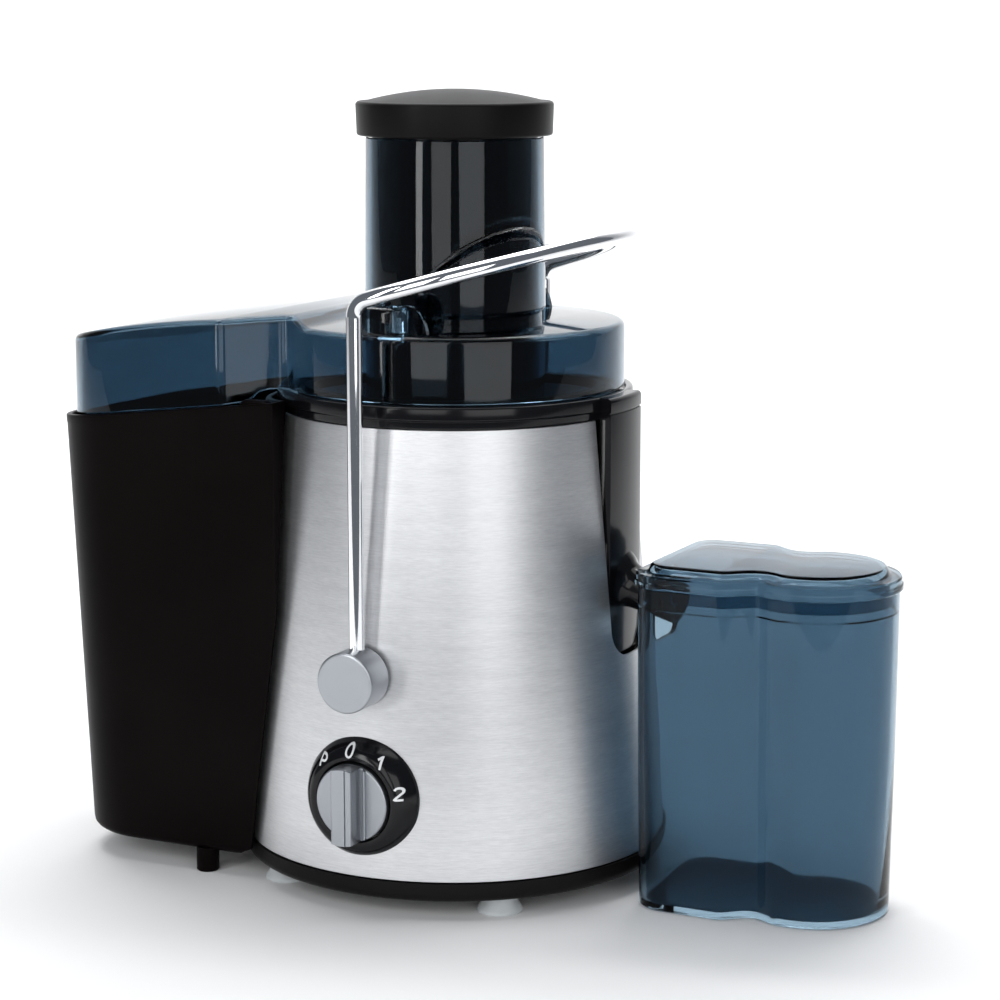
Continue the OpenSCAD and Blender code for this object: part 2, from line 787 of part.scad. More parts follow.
// Outline of the pulp cover, drawn inwards by inset
module cover_outline(inset) {
    r = cover_corner_r - inset;
    end_x = cover_end_x - inset;
    w = cover_half_w - inset;
    join_w = cover_join_half_w - inset;
    for (s = [-1, 1]) translate([-end_x + r, s * (w - r)]) circle(r = r);
    translate([-end_x, -w + r]) square([end_x - cover_straight_x, 2 * (w - r)]);
    translate([-end_x + r, -w]) square([end_x - r - cover_straight_x, 2 * w]);
    polygon([[-cover_straight_x, -w], [-cover_start_x, -join_w], [-40, -join_w], [-40, join_w],
        [-cover_start_x, join_w], [-cover_straight_x, w]]);
}

// Side view of the pulp cover between its sloping rim and its curved top, both drawn inwards
module cover_side(low_gap, top_gap) {
    step = (cover_end_x - cover_start_x) / 8;
    top = [for (i = [0:9]) [-cover_start_x - step * i, cover_z(cover_start_x + step * i) - top_gap]];
    x1 = cover_start_x + step * 9;
    polygon(concat([[-40, rim_z(40) + low_gap], [-40, cover_high_z - top_gap]], top,
        [[-x1, rim_z(x1) + low_gap]]));
}

module lid() {
    edge = [for (a = [0:15:90]) [lid_r - lid_edge_r + lid_edge_r * cos(a),
        lid_top_z - lid_edge_r + lid_edge_r * sin(a)]];
    color(smoke) place() difference() {
        union() {
            difference() {
                union() {
                    rotate_extrude() polygon(concat([[0, lid_low_z], [lid_r, lid_low_z]], edge,
                        [[0, lid_top_z]]));
                    difference() {
                        intersection() {
                            linear_extrude(far) cover_outline(0);
                            across(far) cover_side(seat_gap, 0);
                        }
                        disc(rim_clear_r, 0, lid_low_z);
                    }
                }
                disc(lid_r - lid_wall, 0, lid_top_z - lid_wall);
                intersection() {
                    linear_extrude(far) cover_outline(lid_wall);
                    across(far) cover_side(-20, lid_wall);
                }
            }
            disc(chute_out_r, chute_low_z, chute_top_z - chute_low_z);
            // Lock blocks that the arm closes over
            for (s = [-1, 1]) translate([-lock_half_x, s > 0 ? lock_near_y : -lock_far_y, lid_top_z - 1])
                cube([2 * lock_half_x, lock_far_y - lock_near_y, lock_top_z - lid_top_z + 1]);
        }
        disc(chute_r, 0, far);
        // The lock blocks are hollow from below
        for (s = [-1, 1]) translate([-lock_half_x + lid_wall,
            s > 0 ? lock_near_y + lid_wall : -lock_far_y + lid_wall, lid_top_z - 5])
            cube([2 * (lock_half_x - lid_wall), lock_far_y - lock_near_y - 2 * lid_wall,
                lock_top_z - lid_top_z + 5 - lid_wall]);
    }
}

module pusher_body() {
    color(black) place() difference() {
        disc(pusher_r, pusher_low_z, cap_low_z - pusher_low_z);
        disc(pusher_r - pusher_wall, pusher_low_z + pusher_wall, far);
    }
}

module pusher_cap() {
    sphere_r = (pow(cap_r, 2) + pow(cap_dome_h, 2)) / (2 * cap_dome_h);
    color(black) place() {
        disc(cap_r, cap_low_z + seat_gap, cap_side_h - seat_gap);
        intersection() {
            disc(cap_r, cap_low_z + cap_side_h - 1, cap_dome_h + 2);
            translate([0, 0, cap_top_z - sphere_r]) sphere(r = sphere_r);
        }
    }
}

// Outline of the pulp container with its outer end at end_x, drawn inwards by inset
module bin_outline(end_x, half_w, inset) {
    r = bin_corner_r - inset;
    x = end_x - inset;
    w = half_w - inset;
    for (s = [-1, 1]) translate([-x + r, s * (w - r)]) circle(r = r, $fn = 32);
    translate([-bin_tip_x - inset - 1, -w]) square([1, 2 * w]);
}

// The container's solid without its nest, drawn inwards by inset
module bin_solid(inset) {
    run = bin_cut_z - bin_low_z;
    lean = bin_draft * run / (bin_rim_z - bin_low_z);
    hull() {
        translate([0, 0, bin_low_z + inset])
            linear_extrude(tiny) bin_outline(bin_end_x - bin_draft, bin_half_w - 1.5, inset);
        translate([0, 0, bin_cut_z]) linear_extrude(tiny)
            bin_outline(bin_end_x - bin_draft + lean, bin_half_w, inset);
    }
}

module bin_nest(grow) {
    translate([0, 0, bin_low_z - 1]) cylinder(r1 = bin_nest_low_r + grow, r2 = bin_nest_top_r + grow,
        h = bin_cut_z - bin_low_z + 3);
}

// Side view of all that lies above the container's sloping rim plane lowered by drop
module rim_above(drop) {
    polygon([[-far, rim_z(far) - drop], [0, rim_z(0) - drop], [0, far], [-far, far]]);
}

module pulp_container() {
    color(black) place() difference() {
        union() {
            difference() {
                bin_solid(0);
                bin_nest(0);
                difference() {
                    bin_solid(bin_wall);
                    bin_nest(bin_wall);
                    // A shoulder closes the tips beside the pulp cover
                    difference() {
                        across(far) rim_above(bin_wall);
                        linear_extrude(far) cover_outline(lid_wall);
                    }
                }
            }
            for (s = [-1, 1]) translate([-peg_x, s * peg_y, 0]) cylinder(r = peg_r, h = bin_low_z + 1);
        }
        // Sloping rim
        across(far) rim_above(0);
    }
}

module pivot_pins() {
    color(steel) place() for (s = [0, 180]) rotate([0, 0, s]) translate([0, 0, pivot_z]) {
        to_front(pin_r, body_r(pivot_z) - shell_t - 6, hub_face_y - 4);
        to_front(pin_r + 4, body_r(pivot_z) - shell_t - 6, body_r(pivot_z) - shell_t - 2.5);
    }
}

// A quarter-like bend of the rod, turning by turn degrees on a radius of r, in the X-Y plane
module rod_bend(r, turn) {
    rotate_extrude(angle = turn) translate([r, 0]) circle(r = rod_r);
}

module arm_rod() {
    color(chrome) place() {
        for (s = [-1, 1]) translate([0, s * leg_half_y, 0]) {
            disc(rod_r, leg_low_z, corner_z - tangent_len - link - leg_low_z);
            translate([corner_r, 0, corner_z - tangent_len]) rotate([90, 0, 0])
                rotate([0, 0, 90 + loop_slope]) rod_bend(corner_r, 90 - loop_slope);
        }
        translate([0, 0, corner_z]) rotate([0, -loop_slope, 0]) {
            for (s = [-1, 1]) translate([loop_start, s * (leg_half_y - loop_side_r), 0])
                rotate([0, 0, s > 0 ? loop_turn : -90]) rod_bend(loop_side_r, 90 - loop_turn);
            translate([loop_reach - loop_end_r, 0, 0]) rotate([0, 0, -loop_turn])
                rod_bend(loop_end_r, 2 * loop_turn);
        }
    }
}

// A pivot hub at the front: blind bore for the pin from behind, and a socket for the arm's leg from above
module pivot_hub() {
    translate([0, 0, pivot_z]) difference() {
        to_front(hub_r, hub_back_y, hub_face_y);
        to_front(pin_r + run_clear, 0, hub_face_y - 3);
        translate([0, -leg_half_y, leg_low_z - pivot_z - seat_gap]) cylinder(r = rod_r + run_clear, h = far);
    }
}

module arm_hub_front() {
    color(steel) place() pivot_hub();
}

module arm_hub_back() {
    color(steel) place() mirror([0, 1, 0]) pivot_hub();
}

module dial_bezel() {
    color(black) place() difference() {
        intersection() {
            translate([0, 0, dial_z]) rotate([90, 0, 0]) rotate_extrude() polygon([[0, 60], [bezel_r, 60],
                [bezel_r, dial_wall_y - 4], [bezel_face_r, bezel_face_y], [0, bezel_face_y]]);
            translate([-far / 2, -far, 0]) cube([far, far, far]);
        }
        body_cone(-seat_gap, body_low_z, body_top_z);
        translate([0, 0, dial_z]) to_front(bezel_bore_r, 0, far);
    }
}

module rotary_switch() {
    y1 = -(dial_wall_y - shell_t - 4);
    color([0.2, 0.2, 0.22]) place() difference() {
        translate([-switch_half_w, y1, dial_z - switch_half_w])
            cube([2 * switch_half_w, switch_depth, 2 * switch_half_w]);
        translate([0, 0, dial_z]) to_front(switch_shaft_r + run_clear, -y1 - 12, far);
    }
}

module switch_shaft() {
    y0 = dial_wall_y - shell_t - 4 - 10;
    color(iron) place() translate([0, 0, dial_z])
        to_front(switch_shaft_r, y0, bezel_face_y + knob_proud - 3);
}

module control_knob() {
    back_y = body_r(dial_z - knob_r);
    face_y = bezel_face_y + knob_proud;
    color(steel) place() translate([0, 0, dial_z]) {
        difference() {
            to_front(knob_r, back_y, face_y);
            to_front(switch_shaft_r + seat_gap, 0, face_y - 2.5);
        }
        intersection() {
            translate([-grip_w / 2, -face_y - grip_h, -knob_r]) cube([grip_w, grip_h + 1, 2 * knob_r]);
            to_front(knob_r, back_y, far);
        }
    }
}

module safety_switch() {
    y = body_r(pivot_z) - shell_t;
    color([0.2, 0.2, 0.22]) place() translate([12, -y + 8, pivot_z - 5]) cube([20, 7, 10]);
}

module cord_inlet() {
    wall_y = inlet_y - shell_t;
    color([0.1, 0.1, 0.1]) place() translate([0, 0, inlet_z]) rotate([0, 0, 180]) difference() {
        union() {
            to_front(inlet_r + 2.5, wall_y - 5, wall_y - 5 + inlet_len);
            to_front(inlet_r + 4.5, inlet_y + 2.5, wall_y - 5 + inlet_len);
            to_front(inlet_r + 4.5, wall_y - 5, wall_y - 2);
        }
        to_front(inlet_r, 0, far);
    }
}

// Outline of the jug, drawn inwards by inset
module jug_outline(inset) {
    near = jug_near_x + inset;
    w = jug_lobe_half_w - inset;
    r = jug_corner_r - inset;
    notch = waist_r + inset;
    shoulder_x = waist_x - sqrt(pow(waist_r, 2) - pow(waist_half_w + waist_r - jug_lobe_half_w, 2));
    for (s = [-1, 1]) translate([near + r, s * (w - r)]) circle(r = r);
    translate([near, r - w]) square([shoulder_x - near, 2 * (w - r)]);
    translate([near + r, -w]) square([shoulder_x - near - r, 2 * w]);
    translate([jug_end_x, 0]) circle(r = jug_end_r - inset);
    difference() {
        translate([shoulder_x - 1, inset - jug_end_r])
            square([jug_end_x - shoulder_x + 1, 2 * (jug_end_r - inset)]);
        for (s = [-1, 1]) translate([waist_x, s * (waist_half_w + waist_r)]) circle(r = notch);
    }
}

// The port for the spout in the jug's inner wall
module port_cut(half_w) {
    translate([jug_near_x - 5, -half_w, port_z]) cube([14, 2 * half_w, far]);
}

module jug() {
    color(smoke) place() difference() {
        linear_extrude(jug_h) jug_outline(0);
        translate([0, 0, jug_wall]) linear_extrude(jug_h) jug_outline(jug_wall);
        port_cut(port_half_w);
    }
}

module jug_lid() {
    skirt_gap = 0.4;
    color(smoke) place() difference() {
        union() {
            translate([0, 0, jug_lid_low_z]) linear_extrude(jug_flange_z - jug_lid_low_z)
                jug_outline(-jug_lid_proud);
            translate([0, 0, jug_flange_z - 1]) linear_extrude(jug_plate_h + 1) jug_outline(4);
            translate([0, 0, jug_h - 6]) linear_extrude(8) jug_outline(jug_wall + skirt_gap);
        }
        translate([0, 0, jug_h - 7]) linear_extrude(jug_flange_z - jug_h + 7 + jug_plate_h - jug_wall)
            jug_outline(jug_wall + skirt_gap + 2.2);
        // The skirt starts beyond the spout
        translate([0, -far / 2, jug_h - 10]) cube([spout_tip_x + 12, far, 10 + seat_gap]);
    }
}

base_tray();
suction_feet();
base_screws();
body_shell();
steel_skin();
deck();
shaft_seal();
motor_mounts();
motor_upper_bracket();
motor_lower_bracket();
upper_bearing();
lower_bearing();
stator_stack();
field_coils();
brush_holders();
carbon_brushes();
motor_screws();
rotor_shaft();
armature();
commutator();
cooling_fan();
drive_coupling();
basket_base();
sieve_wall();
basket_rim();
grater_disc();
juice_collector();
spout();
lid_seal();
lid();
pusher_body();
pusher_cap();
pulp_container();
pivot_pins();
arm_rod();
arm_hub_front();
arm_hub_back();
dial_bezel();
rotary_switch();
switch_shaft();
control_knob();
safety_switch();
cord_inlet();
jug();
jug_lid();
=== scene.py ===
"""Centrifugal juicer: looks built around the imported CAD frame.

Shapes are worked out in millimetres about the motor's axis, as the CAD draws them.
They are made in metres, in the frame.
"""
import json
import math

import bmesh
import bpy
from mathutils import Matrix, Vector

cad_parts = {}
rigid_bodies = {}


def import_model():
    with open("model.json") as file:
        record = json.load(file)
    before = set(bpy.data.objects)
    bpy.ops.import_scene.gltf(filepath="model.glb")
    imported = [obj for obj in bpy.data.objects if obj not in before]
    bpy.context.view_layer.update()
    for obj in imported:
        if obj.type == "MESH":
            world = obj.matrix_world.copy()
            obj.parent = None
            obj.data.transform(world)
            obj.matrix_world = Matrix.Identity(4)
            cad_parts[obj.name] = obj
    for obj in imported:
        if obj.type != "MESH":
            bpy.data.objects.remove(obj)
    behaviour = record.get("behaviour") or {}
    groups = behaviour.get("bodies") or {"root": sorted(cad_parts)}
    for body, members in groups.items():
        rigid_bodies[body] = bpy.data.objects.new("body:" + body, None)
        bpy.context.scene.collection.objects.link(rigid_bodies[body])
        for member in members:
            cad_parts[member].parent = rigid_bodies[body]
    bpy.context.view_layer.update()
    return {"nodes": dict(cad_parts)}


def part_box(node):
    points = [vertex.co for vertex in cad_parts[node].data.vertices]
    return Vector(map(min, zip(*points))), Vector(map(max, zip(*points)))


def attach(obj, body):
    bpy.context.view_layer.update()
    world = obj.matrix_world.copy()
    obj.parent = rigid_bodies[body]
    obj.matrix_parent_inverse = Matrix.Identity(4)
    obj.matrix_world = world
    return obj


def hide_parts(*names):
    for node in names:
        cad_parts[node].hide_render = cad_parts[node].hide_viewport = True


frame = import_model()

MM = 0.001
_low, _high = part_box("rotor_shaft")
AXIS = Vector(((_low.x + _high.x) / 2, (_low.y + _high.y) / 2, 0))


def span(node):
    """Lowest and highest corner of a CAD node, in millimetres about the motor's axis."""
    low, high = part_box(node)
    return (low - AXIS) / MM, (high - AXIS) / MM


# Sizes read from the frame
SKIN_LOW, SKIN_HIGH = span("steel_skin")
LID_LOW, LID_HIGH = span("lid")
BIN_LOW, _ = span("pulp_container")
JUG_LOW, JUG_HIGH = span("jug")
JUG_LID_LOW, JUG_LID_HIGH = span("jug_lid")
ROD_LOW, ROD_HIGH = span("arm_rod")
HUB_LOW, HUB_HIGH = span("arm_hub_front")
KNOB_LOW, KNOB_HIGH = span("control_knob")
BEZEL_LOW, BEZEL_HIGH = span("dial_bezel")
COLLECTOR_LOW, COLLECTOR_HIGH = span("juice_collector")
_, SPOUT_HIGH = span("spout")
CAP_LOW, CAP_HIGH = span("pusher_cap")
PUSHER_LOW, PUSHER_HIGH = span("pusher_body")
_, FEET_HIGH = span("suction_feet")
_, GRATER_HIGH = span("grater_disc")

# Sizes that no box shows
BODY_TOP_R = 80.5
SLOT_HALF_W = 17.5
SLOT_LOW_Z = 108
SLOT_CORNER_R = 12
NEST_HALF_ANGLE = 43
SKIN_T = 0.8
RIM_LOW_Z = SKIN_HIGH.z + 0.4
RIM_TOP_Z = COLLECTOR_HIGH.z
RIM_R = 82
APRON_R = 87.5
CHUTE_R = 38.5
LID_WALL = 2.4
LID_TOP_Z = 256
COVER_HIGH_Z = 260
COVER_START_X = 58
RIM_SLOPE = math.tan(math.radians(6.7))
BIN_RIM_Z = SKIN_HIGH.z + 0.2 - 8
BIN_DRAFT = 9
BIN_HALF_W = 77.8
BIN_FLOOR_Z = 10.5
BIN_STEPS = 40
PEG_R = 5.3
LID_LOW_RING = RIM_TOP_Z + 0.3
LID_LOW_CHUTE = GRATER_HIGH.z + 3
SPOUT_Z = 139.5
SPOUT_SLOPE = math.radians(14)
FOOT_RING_R = 85
FOOT_TURNS = (50, 130, 230, 310)
PIVOT_Z = 107
PIN_HOLE_R = 5.2
BEZEL_HOLE_R = 20.3
KNOB_Z = (KNOB_LOW.z + KNOB_HIGH.z) / 2
BEZEL_FACE = -BEZEL_LOW.y
BEZEL_R = (BEZEL_HIGH.x - BEZEL_LOW.x) / 2
BEZEL_FLAT_R = 19.6
MARK_RING_R = 22.9
ROD_R = 3.5
ARM_CORNER_Z = 272
LOOP_SLOPE = math.radians(16.5)
LOOP_TURN = math.radians(47)
LOOP_REACH = 85
ROD_CORNER_R = 8.5


def body_r(z):
    """Radius of the body's outer surface at a height."""
    share = (z - SKIN_LOW.z) / (SKIN_HIGH.z - SKIN_LOW.z)
    return SKIN_HIGH.y + (BODY_TOP_R - SKIN_HIGH.y) * share


def rim_z(x):
    """Height of the pulp container's sloping rim at a place along X."""
    return BIN_RIM_Z + (x - BIN_LOW.x) * RIM_SLOPE


def cover_z(x):
    """Height of the pulp cover's curved top at a place along X."""
    run = -COVER_START_X - x
    return COVER_HIGH_Z - 0.03 * run - 0.0008 * run * run


def blend(a, b, t):
    """From a to b with soft ends."""
    t = min(1, max(0, t))
    t = t * t * (3 - 2 * t)
    return a + (b - a) * t


# ---------------------------------------------------------------- outlines

def rounded(points, radii, steps=6):
    """The open line through points, with each inner corner rounded by its radius."""
    out = [Vector(points[0])]
    for i in range(1, len(points) - 1):
        p, a, b = Vector(points[i]), Vector(points[i - 1]), Vector(points[i + 1])
        r = radii[i]
        u, v = (a - p).normalized(), (b - p).normalized()
        half = u.angle(v) / 2
        if r <= 0 or half > math.radians(89.5):
            out.append(p)
            continue
        cut = r / math.tan(half)
        centre = p + (u + v).normalized() * (r / math.sin(half))
        start, end = p + u * cut - centre, p + v * cut - centre
        turn = math.atan2(start.x * end.y - start.y * end.x, start.dot(end))
        for k in range(steps + 1):
            t = turn * k / steps
            out.append(centre + Vector((start.x * math.cos(t) - start.y * math.sin(t),
                                        start.x * math.sin(t) + start.y * math.cos(t))))
    out.append(Vector(points[-1]))
    return out


def densify(line, step):
    """The line with its long stretches divided."""
    out = [line[0]]
    for a, b in zip(line, line[1:]):
        n = max(1, math.ceil((b - a).length / step))
        out += [a + (b - a) * k / n for k in range(1, n + 1)]
    return out


def arc(centre, r, start, end, steps):
    """Points of an arc, with its angles in degrees."""
    return [Vector((centre[0] + r * math.cos(math.radians(start + (end - start) * k / steps)),
                    centre[1] + r * math.sin(math.radians(start + (end - start) * k / steps))))
            for k in range(steps + 1)]


def hermite(a, ta, b, tb, steps):
    """A soft curve from a to b that leaves along ta and arrives along tb, without its first point."""
    a, ta, b, tb = Vector(a), Vector(ta), Vector(b), Vector(tb)
    out = []
    for k in range(1, steps + 1):
        t = k / steps
        out.append(a * (2 * t**3 - 3 * t**2 + 1) + ta * (t**3 - 2 * t**2 + t)
                   + b * (3 * t**2 - 2 * t**3) + tb * (t**3 - t**2))
    return out


def full_turn(n):
    """Angles of n even steps round a circle."""
    return [2 * math.pi * k / n for k in range(n)]


def mirrored(half):
    """The whole ring of a half outline that starts and ends on the middle plane."""
    return half + [Vector((p.x, -p.y)) for p in reversed(half[1:-1])]


def inset(half, d):
    """The half outline moved inwards by d; it may run either way round."""
    ring = mirrored(half)
    area = sum(a.x * b.y - b.x * a.y for a, b in zip(ring, ring[1:] + ring[:1]))
    side = 1 if area > 0 else -1
    out = []
    for i in range(len(half)):
        before, after = ring[i - 1], ring[(i + 1) % len(ring)]
        t = (after - before).normalized()
        out.append(half[i] + Vector((-t.y, t.x)) * side * d)
    out[0].y = out[-1].y = 0
    return out


# ---------------------------------------------------------------- meshes

def smooth(mesh, angle=32):
    """Shades the mesh smooth, with its edges above the angle left sharp."""
    mesh.shade_smooth()
    mesh.set_sharp_from_angle(angle=math.radians(angle))


def finish_mesh(name, bm, body, material, nodes=(), angle=32):
    """Makes the object: welds doubles, turns the normals out, moves it to the frame and lets it ride."""
    bmesh.ops.remove_doubles(bm, verts=bm.verts, dist=0.004)
    bmesh.ops.recalc_face_normals(bm, faces=bm.faces)
    for v in bm.verts:
        v.co = v.co * MM + AXIS
    mesh = bpy.data.meshes.new(name)
    bm.to_mesh(mesh)
    bm.free()
    smooth(mesh, angle)
    o = bpy.data.objects.new(name, mesh)
    bpy.context.scene.collection.objects.link(o)
    o.data.materials.append(material)
    if body:
        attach(o, body)
    if nodes:
        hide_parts(*nodes)
    return o


def add_grid(bm, rows, closed_rows=False, closed_columns=True):
    """Quads between rows of points; returns the rows of vertices."""
    verts = [[bm.verts.new(p) for p in row] for row in rows]
    n = len(rows[0])
    for a, b in zip(verts, verts[1:] + (verts[:1] if closed_rows else [])):
        for k in range(n if closed_columns else n - 1):
            j = (k + 1) % n
            bm.faces.new((a[k], a[j], b[j], b[k]))
    return verts


def add_prism(bm, rows):
    """A grid of closed rows, with its first and last row filled."""
    verts = add_grid(bm, rows)
    bm.faces.new(verts[0])
    bm.faces.new(verts[-1])


def add_lathe(bm, profile, segments=192, closed=True, turn=None):
    """A turned solid about Z from (r, z) points; turn maps a point to its place."""
    place = turn or (lambda p: p)
    rows = []
    for r, z in profile:
        rows.append([place(Vector((r * math.cos(a), r * math.sin(a), z))) for a in full_turn(segments)])
    add_grid(bm, rows, closed_rows=closed)


def add_strip_cap(bm, ring_verts):
    """Closes a mirrored ring with strips from side to side."""
    n = len(ring_verts)
    for k in range(n // 2):
        places = (k, k + 1, (n - k - 1) % n, (n - k) % n)
        corners = list(dict.fromkeys(ring_verts[i] for i in places))
        if len(corners) > 2:
            bm.faces.new(corners)


def add_loft(bm, rings):
    """A skin over mirrored rings, closed at both ends."""
    verts = add_grid(bm, rings)
    add_strip_cap(bm, verts[0])
    add_strip_cap(bm, verts[-1])


def add_tube(bm, path, r, sides=28):
    """A round rod along a path, closed at its ends."""
    rows = []
    side = None
    for i, p in enumerate(path):
        t = (path[min(i + 1, len(path) - 1)] - path[max(i - 1, 0)]).normalized()
        if side is None:
            side = t.orthogonal().normalized()
        side = (side - t * side.dot(t)).normalized()
        up = t.cross(side)
        rows.append([p + (side * math.cos(a) + up * math.sin(a)) * r for a in full_turn(sides)])
    add_prism(bm, rows)


def add_box(bm, low, high, bevel=0.0, segments=3):
    """A box between two corners, with rounded edges where a bevel is given."""
    made = bmesh.ops.create_cube(bm, size=1)["verts"]
    for v in made:
        v.co = Vector([low[i] + (v.co[i] + 0.5) * (high[i] - low[i]) for i in range(3)])
    if bevel:
        edges = {e for v in made for e in v.link_edges}
        bmesh.ops.bevel(bm, geom=list(edges), offset=bevel, segments=segments, profile=0.5, affect="EDGES")


def to_front(p):
    """Turns a shape drawn about Z so that its Z points to the front."""
    return Vector((p.x, -p.z, p.y))


def cut_with(target, cutters, operation="DIFFERENCE"):
    """Applies exact booleans and removes the cutters."""
    for cutter in cutters:
        m = target.modifiers.new("cut", "BOOLEAN")
        m.operation = operation
        m.solver = "EXACT"
        m.object = cutter
    bpy.context.view_layer.update()
    evaluated = target.evaluated_get(bpy.context.evaluated_depsgraph_get())
    mesh = bpy.data.meshes.new_from_object(evaluated)
    target.modifiers.clear()
    target.data = mesh
    for cutter in cutters:
        bpy.data.objects.remove(cutter)


def helper(name, bm):
    """A plain mesh object that a boolean uses up."""
    return finish_mesh(name, bm, None, plain_material())


# ---------------------------------------------------------------- materials

def plain_material():
    return bpy.data.materials.get("cutter") or bpy.data.materials.new("cutter")


class Nodes:
    """A short way to write a material's node tree."""

    def __init__(self, name):
        self.material = bpy.data.materials.new(name)
        self.material.use_nodes = True
        self.tree = self.material.node_tree
        self.shader = self.tree.nodes["Principled BSDF"]

    def add(self, kind, **inputs):
        node = self.tree.nodes.new(kind)
        for key, value in inputs.items():
            if hasattr(node, key):
                setattr(node, key, value)
            else:
                node.inputs[key.replace("_", " ")].default_value = value
        return node

    def link(self, a, b):
        self.tree.links.new(a, b)

    def set(self, **inputs):
        for key, value in inputs.items():
            self.shader.inputs[key.replace("_", " ")].default_value = value

    def position(self):
        """Place about the motor's axis, in metres."""
        coord = self.add("ShaderNodeTexCoord")
        shift = self.add("ShaderNodeVectorMath", operation="SUBTRACT")
        self.link(coord.outputs["Object"], shift.inputs[0])
        shift.inputs[1].default_value = AXIS
        return shift.outputs[0]

    def scaled(self, vector, scale):
        node = self.add("ShaderNodeVectorMath", operation="MULTIPLY")
        self.link(vector, node.inputs[0])
        node.inputs[1].default_value = scale
        return node.outputs[0]

    def noise(self, vector, scale, detail=3.0, roughness=0.5):
        node = self.add("ShaderNodeTexNoise")
        self.link(vector, node.inputs["Vector"])
        node.inputs["Scale"].default_value = scale
        node.inputs["Detail"].default_value = detail
        node.inputs["Roughness"].default_value = roughness
        return node.outputs["Fac"]

    def math(self, operation, a, b=None):
        node = self.add("ShaderNodeMath", operation=operation)
        for i, value in enumerate((a, b)):
            if value is None:
                continue
            if isinstance(value, (int, float)):
                node.inputs[i].default_value = value
            else:
                self.link(value, node.inputs[i])
        return node.outputs[0]

    def ramp(self, fac, stops):
        node = self.add("ShaderNodeValToRGB")
        self.link(fac, node.inputs["Fac"])
        elements = node.color_ramp.elements
        while len(elements) < len(stops):
            elements.new(0.5)
        for e, (pos, color) in zip(elements, stops):
            e.position = pos
            e.color = (*color, 1) if len(color) == 3 else (color[0],) * 3 + (1,)
        return node.outputs["Color"]

    def spread(self, fac, low, high):
        node = self.add("ShaderNodeMapRange")
        self.link(fac, node.inputs["Value"])
        node.inputs["To Min"].default_value = low
        node.inputs["To Max"].default_value = high
        return node.outputs["Result"]

    def bump(self, height, strength, distance):
        node = self.add("ShaderNodeBump")
        self.link(height, node.inputs["Height"])
        node.inputs["Strength"].default_value = strength
        node.inputs["Distance"].default_value = distance
        self.link(node.outputs["Normal"], self.shader.inputs["Normal"])

    def use(self, output, name):
        self.link(output, self.shader.inputs[name])


def moulded(name, dark, light, rough_low, rough_high, grain=900.0, bump=0.12, specular=0.5):
    """Moulded plastic or rubber: faint colour clouds, uneven gloss and a fine grain."""
    n = Nodes(name)
    where = n.position()
    cloud = n.noise(where, 14.0, 4.0)
    n.use(n.ramp(cloud, [(0.3, dark), (0.7, light)]), "Base Color")
    n.use(n.spread(n.noise(where, 45.0, 5.0), rough_low, rough_high), "Roughness")
    n.bump(n.noise(where, grain, 2.0), bump, 0.00008)
    n.set(Specular_IOR_Level=specular)
    return n.material


def metal(name, dark, light, rough_low, rough_high, scale=60.0, bump=0.08):
    """Plain metal with uneven polish."""
    n = Nodes(name)
    where = n.position()
    n.use(n.ramp(n.noise(where, scale, 4.0), [(0.3, dark), (0.7, light)]), "Base Color")
    n.use(n.spread(n.noise(where, scale * 3, 5.0), rough_low, rough_high), "Roughness")
    n.bump(n.noise(where, scale * 18, 2.0), bump, 0.00004)
    n.set(Metallic=1.0)
    return n.material


def brushed_steel():
    """Steel brushed round the body, with streaks that run along the turn."""
    n = Nodes("brushed_steel_skin")
    where = n.position()
    split = n.add("ShaderNodeSeparateXYZ")
    n.link(where, split.inputs[0])
    angle = n.math("ARCTAN2", split.outputs["Y"], split.outputs["X"])
    turned = n.add("ShaderNodeCombineXYZ")
    n.link(n.math("MULTIPLY", angle, 0.09), turned.inputs["X"])
    n.link(n.math("MULTIPLY", split.outputs["Z"], 9.0), turned.inputs["Y"])
    fine = n.noise(turned.outputs[0], 160.0, 6.0, 0.7)
    coarse = n.noise(turned.outputs[0], 26.0, 3.0, 0.6)
    streak = n.math("ADD", n.math("MULTIPLY", fine, 0.7), n.math("MULTIPLY", coarse, 0.3))
    n.use(n.ramp(streak, [(0.36, (0.60, 0.605, 0.62)), (0.64, (0.74, 0.745, 0.755))]), "Base Color")
    n.use(n.spread(streak, 0.30, 0.42), "Roughness")
    n.bump(streak, 0.10, 0.00006)
    # The streaks run along the turn, so the highlight spreads along Z
    flat = n.scaled(where, (1, 1, 0))
    tangent = n.add("ShaderNodeVectorMath", operation="CROSS_PRODUCT")
    tangent.inputs[0].default_value = (0, 0, 1)
    n.link(flat, tangent.inputs[1])
    unit = n.add("ShaderNodeVectorMath", operation="NORMALIZE")
    n.link(tangent.outputs[0], unit.inputs[0])
    n.use(unit.outputs[0], "Tangent")
    n.set(Metallic=1.0, Anisotropic=0.65)
    return n.material


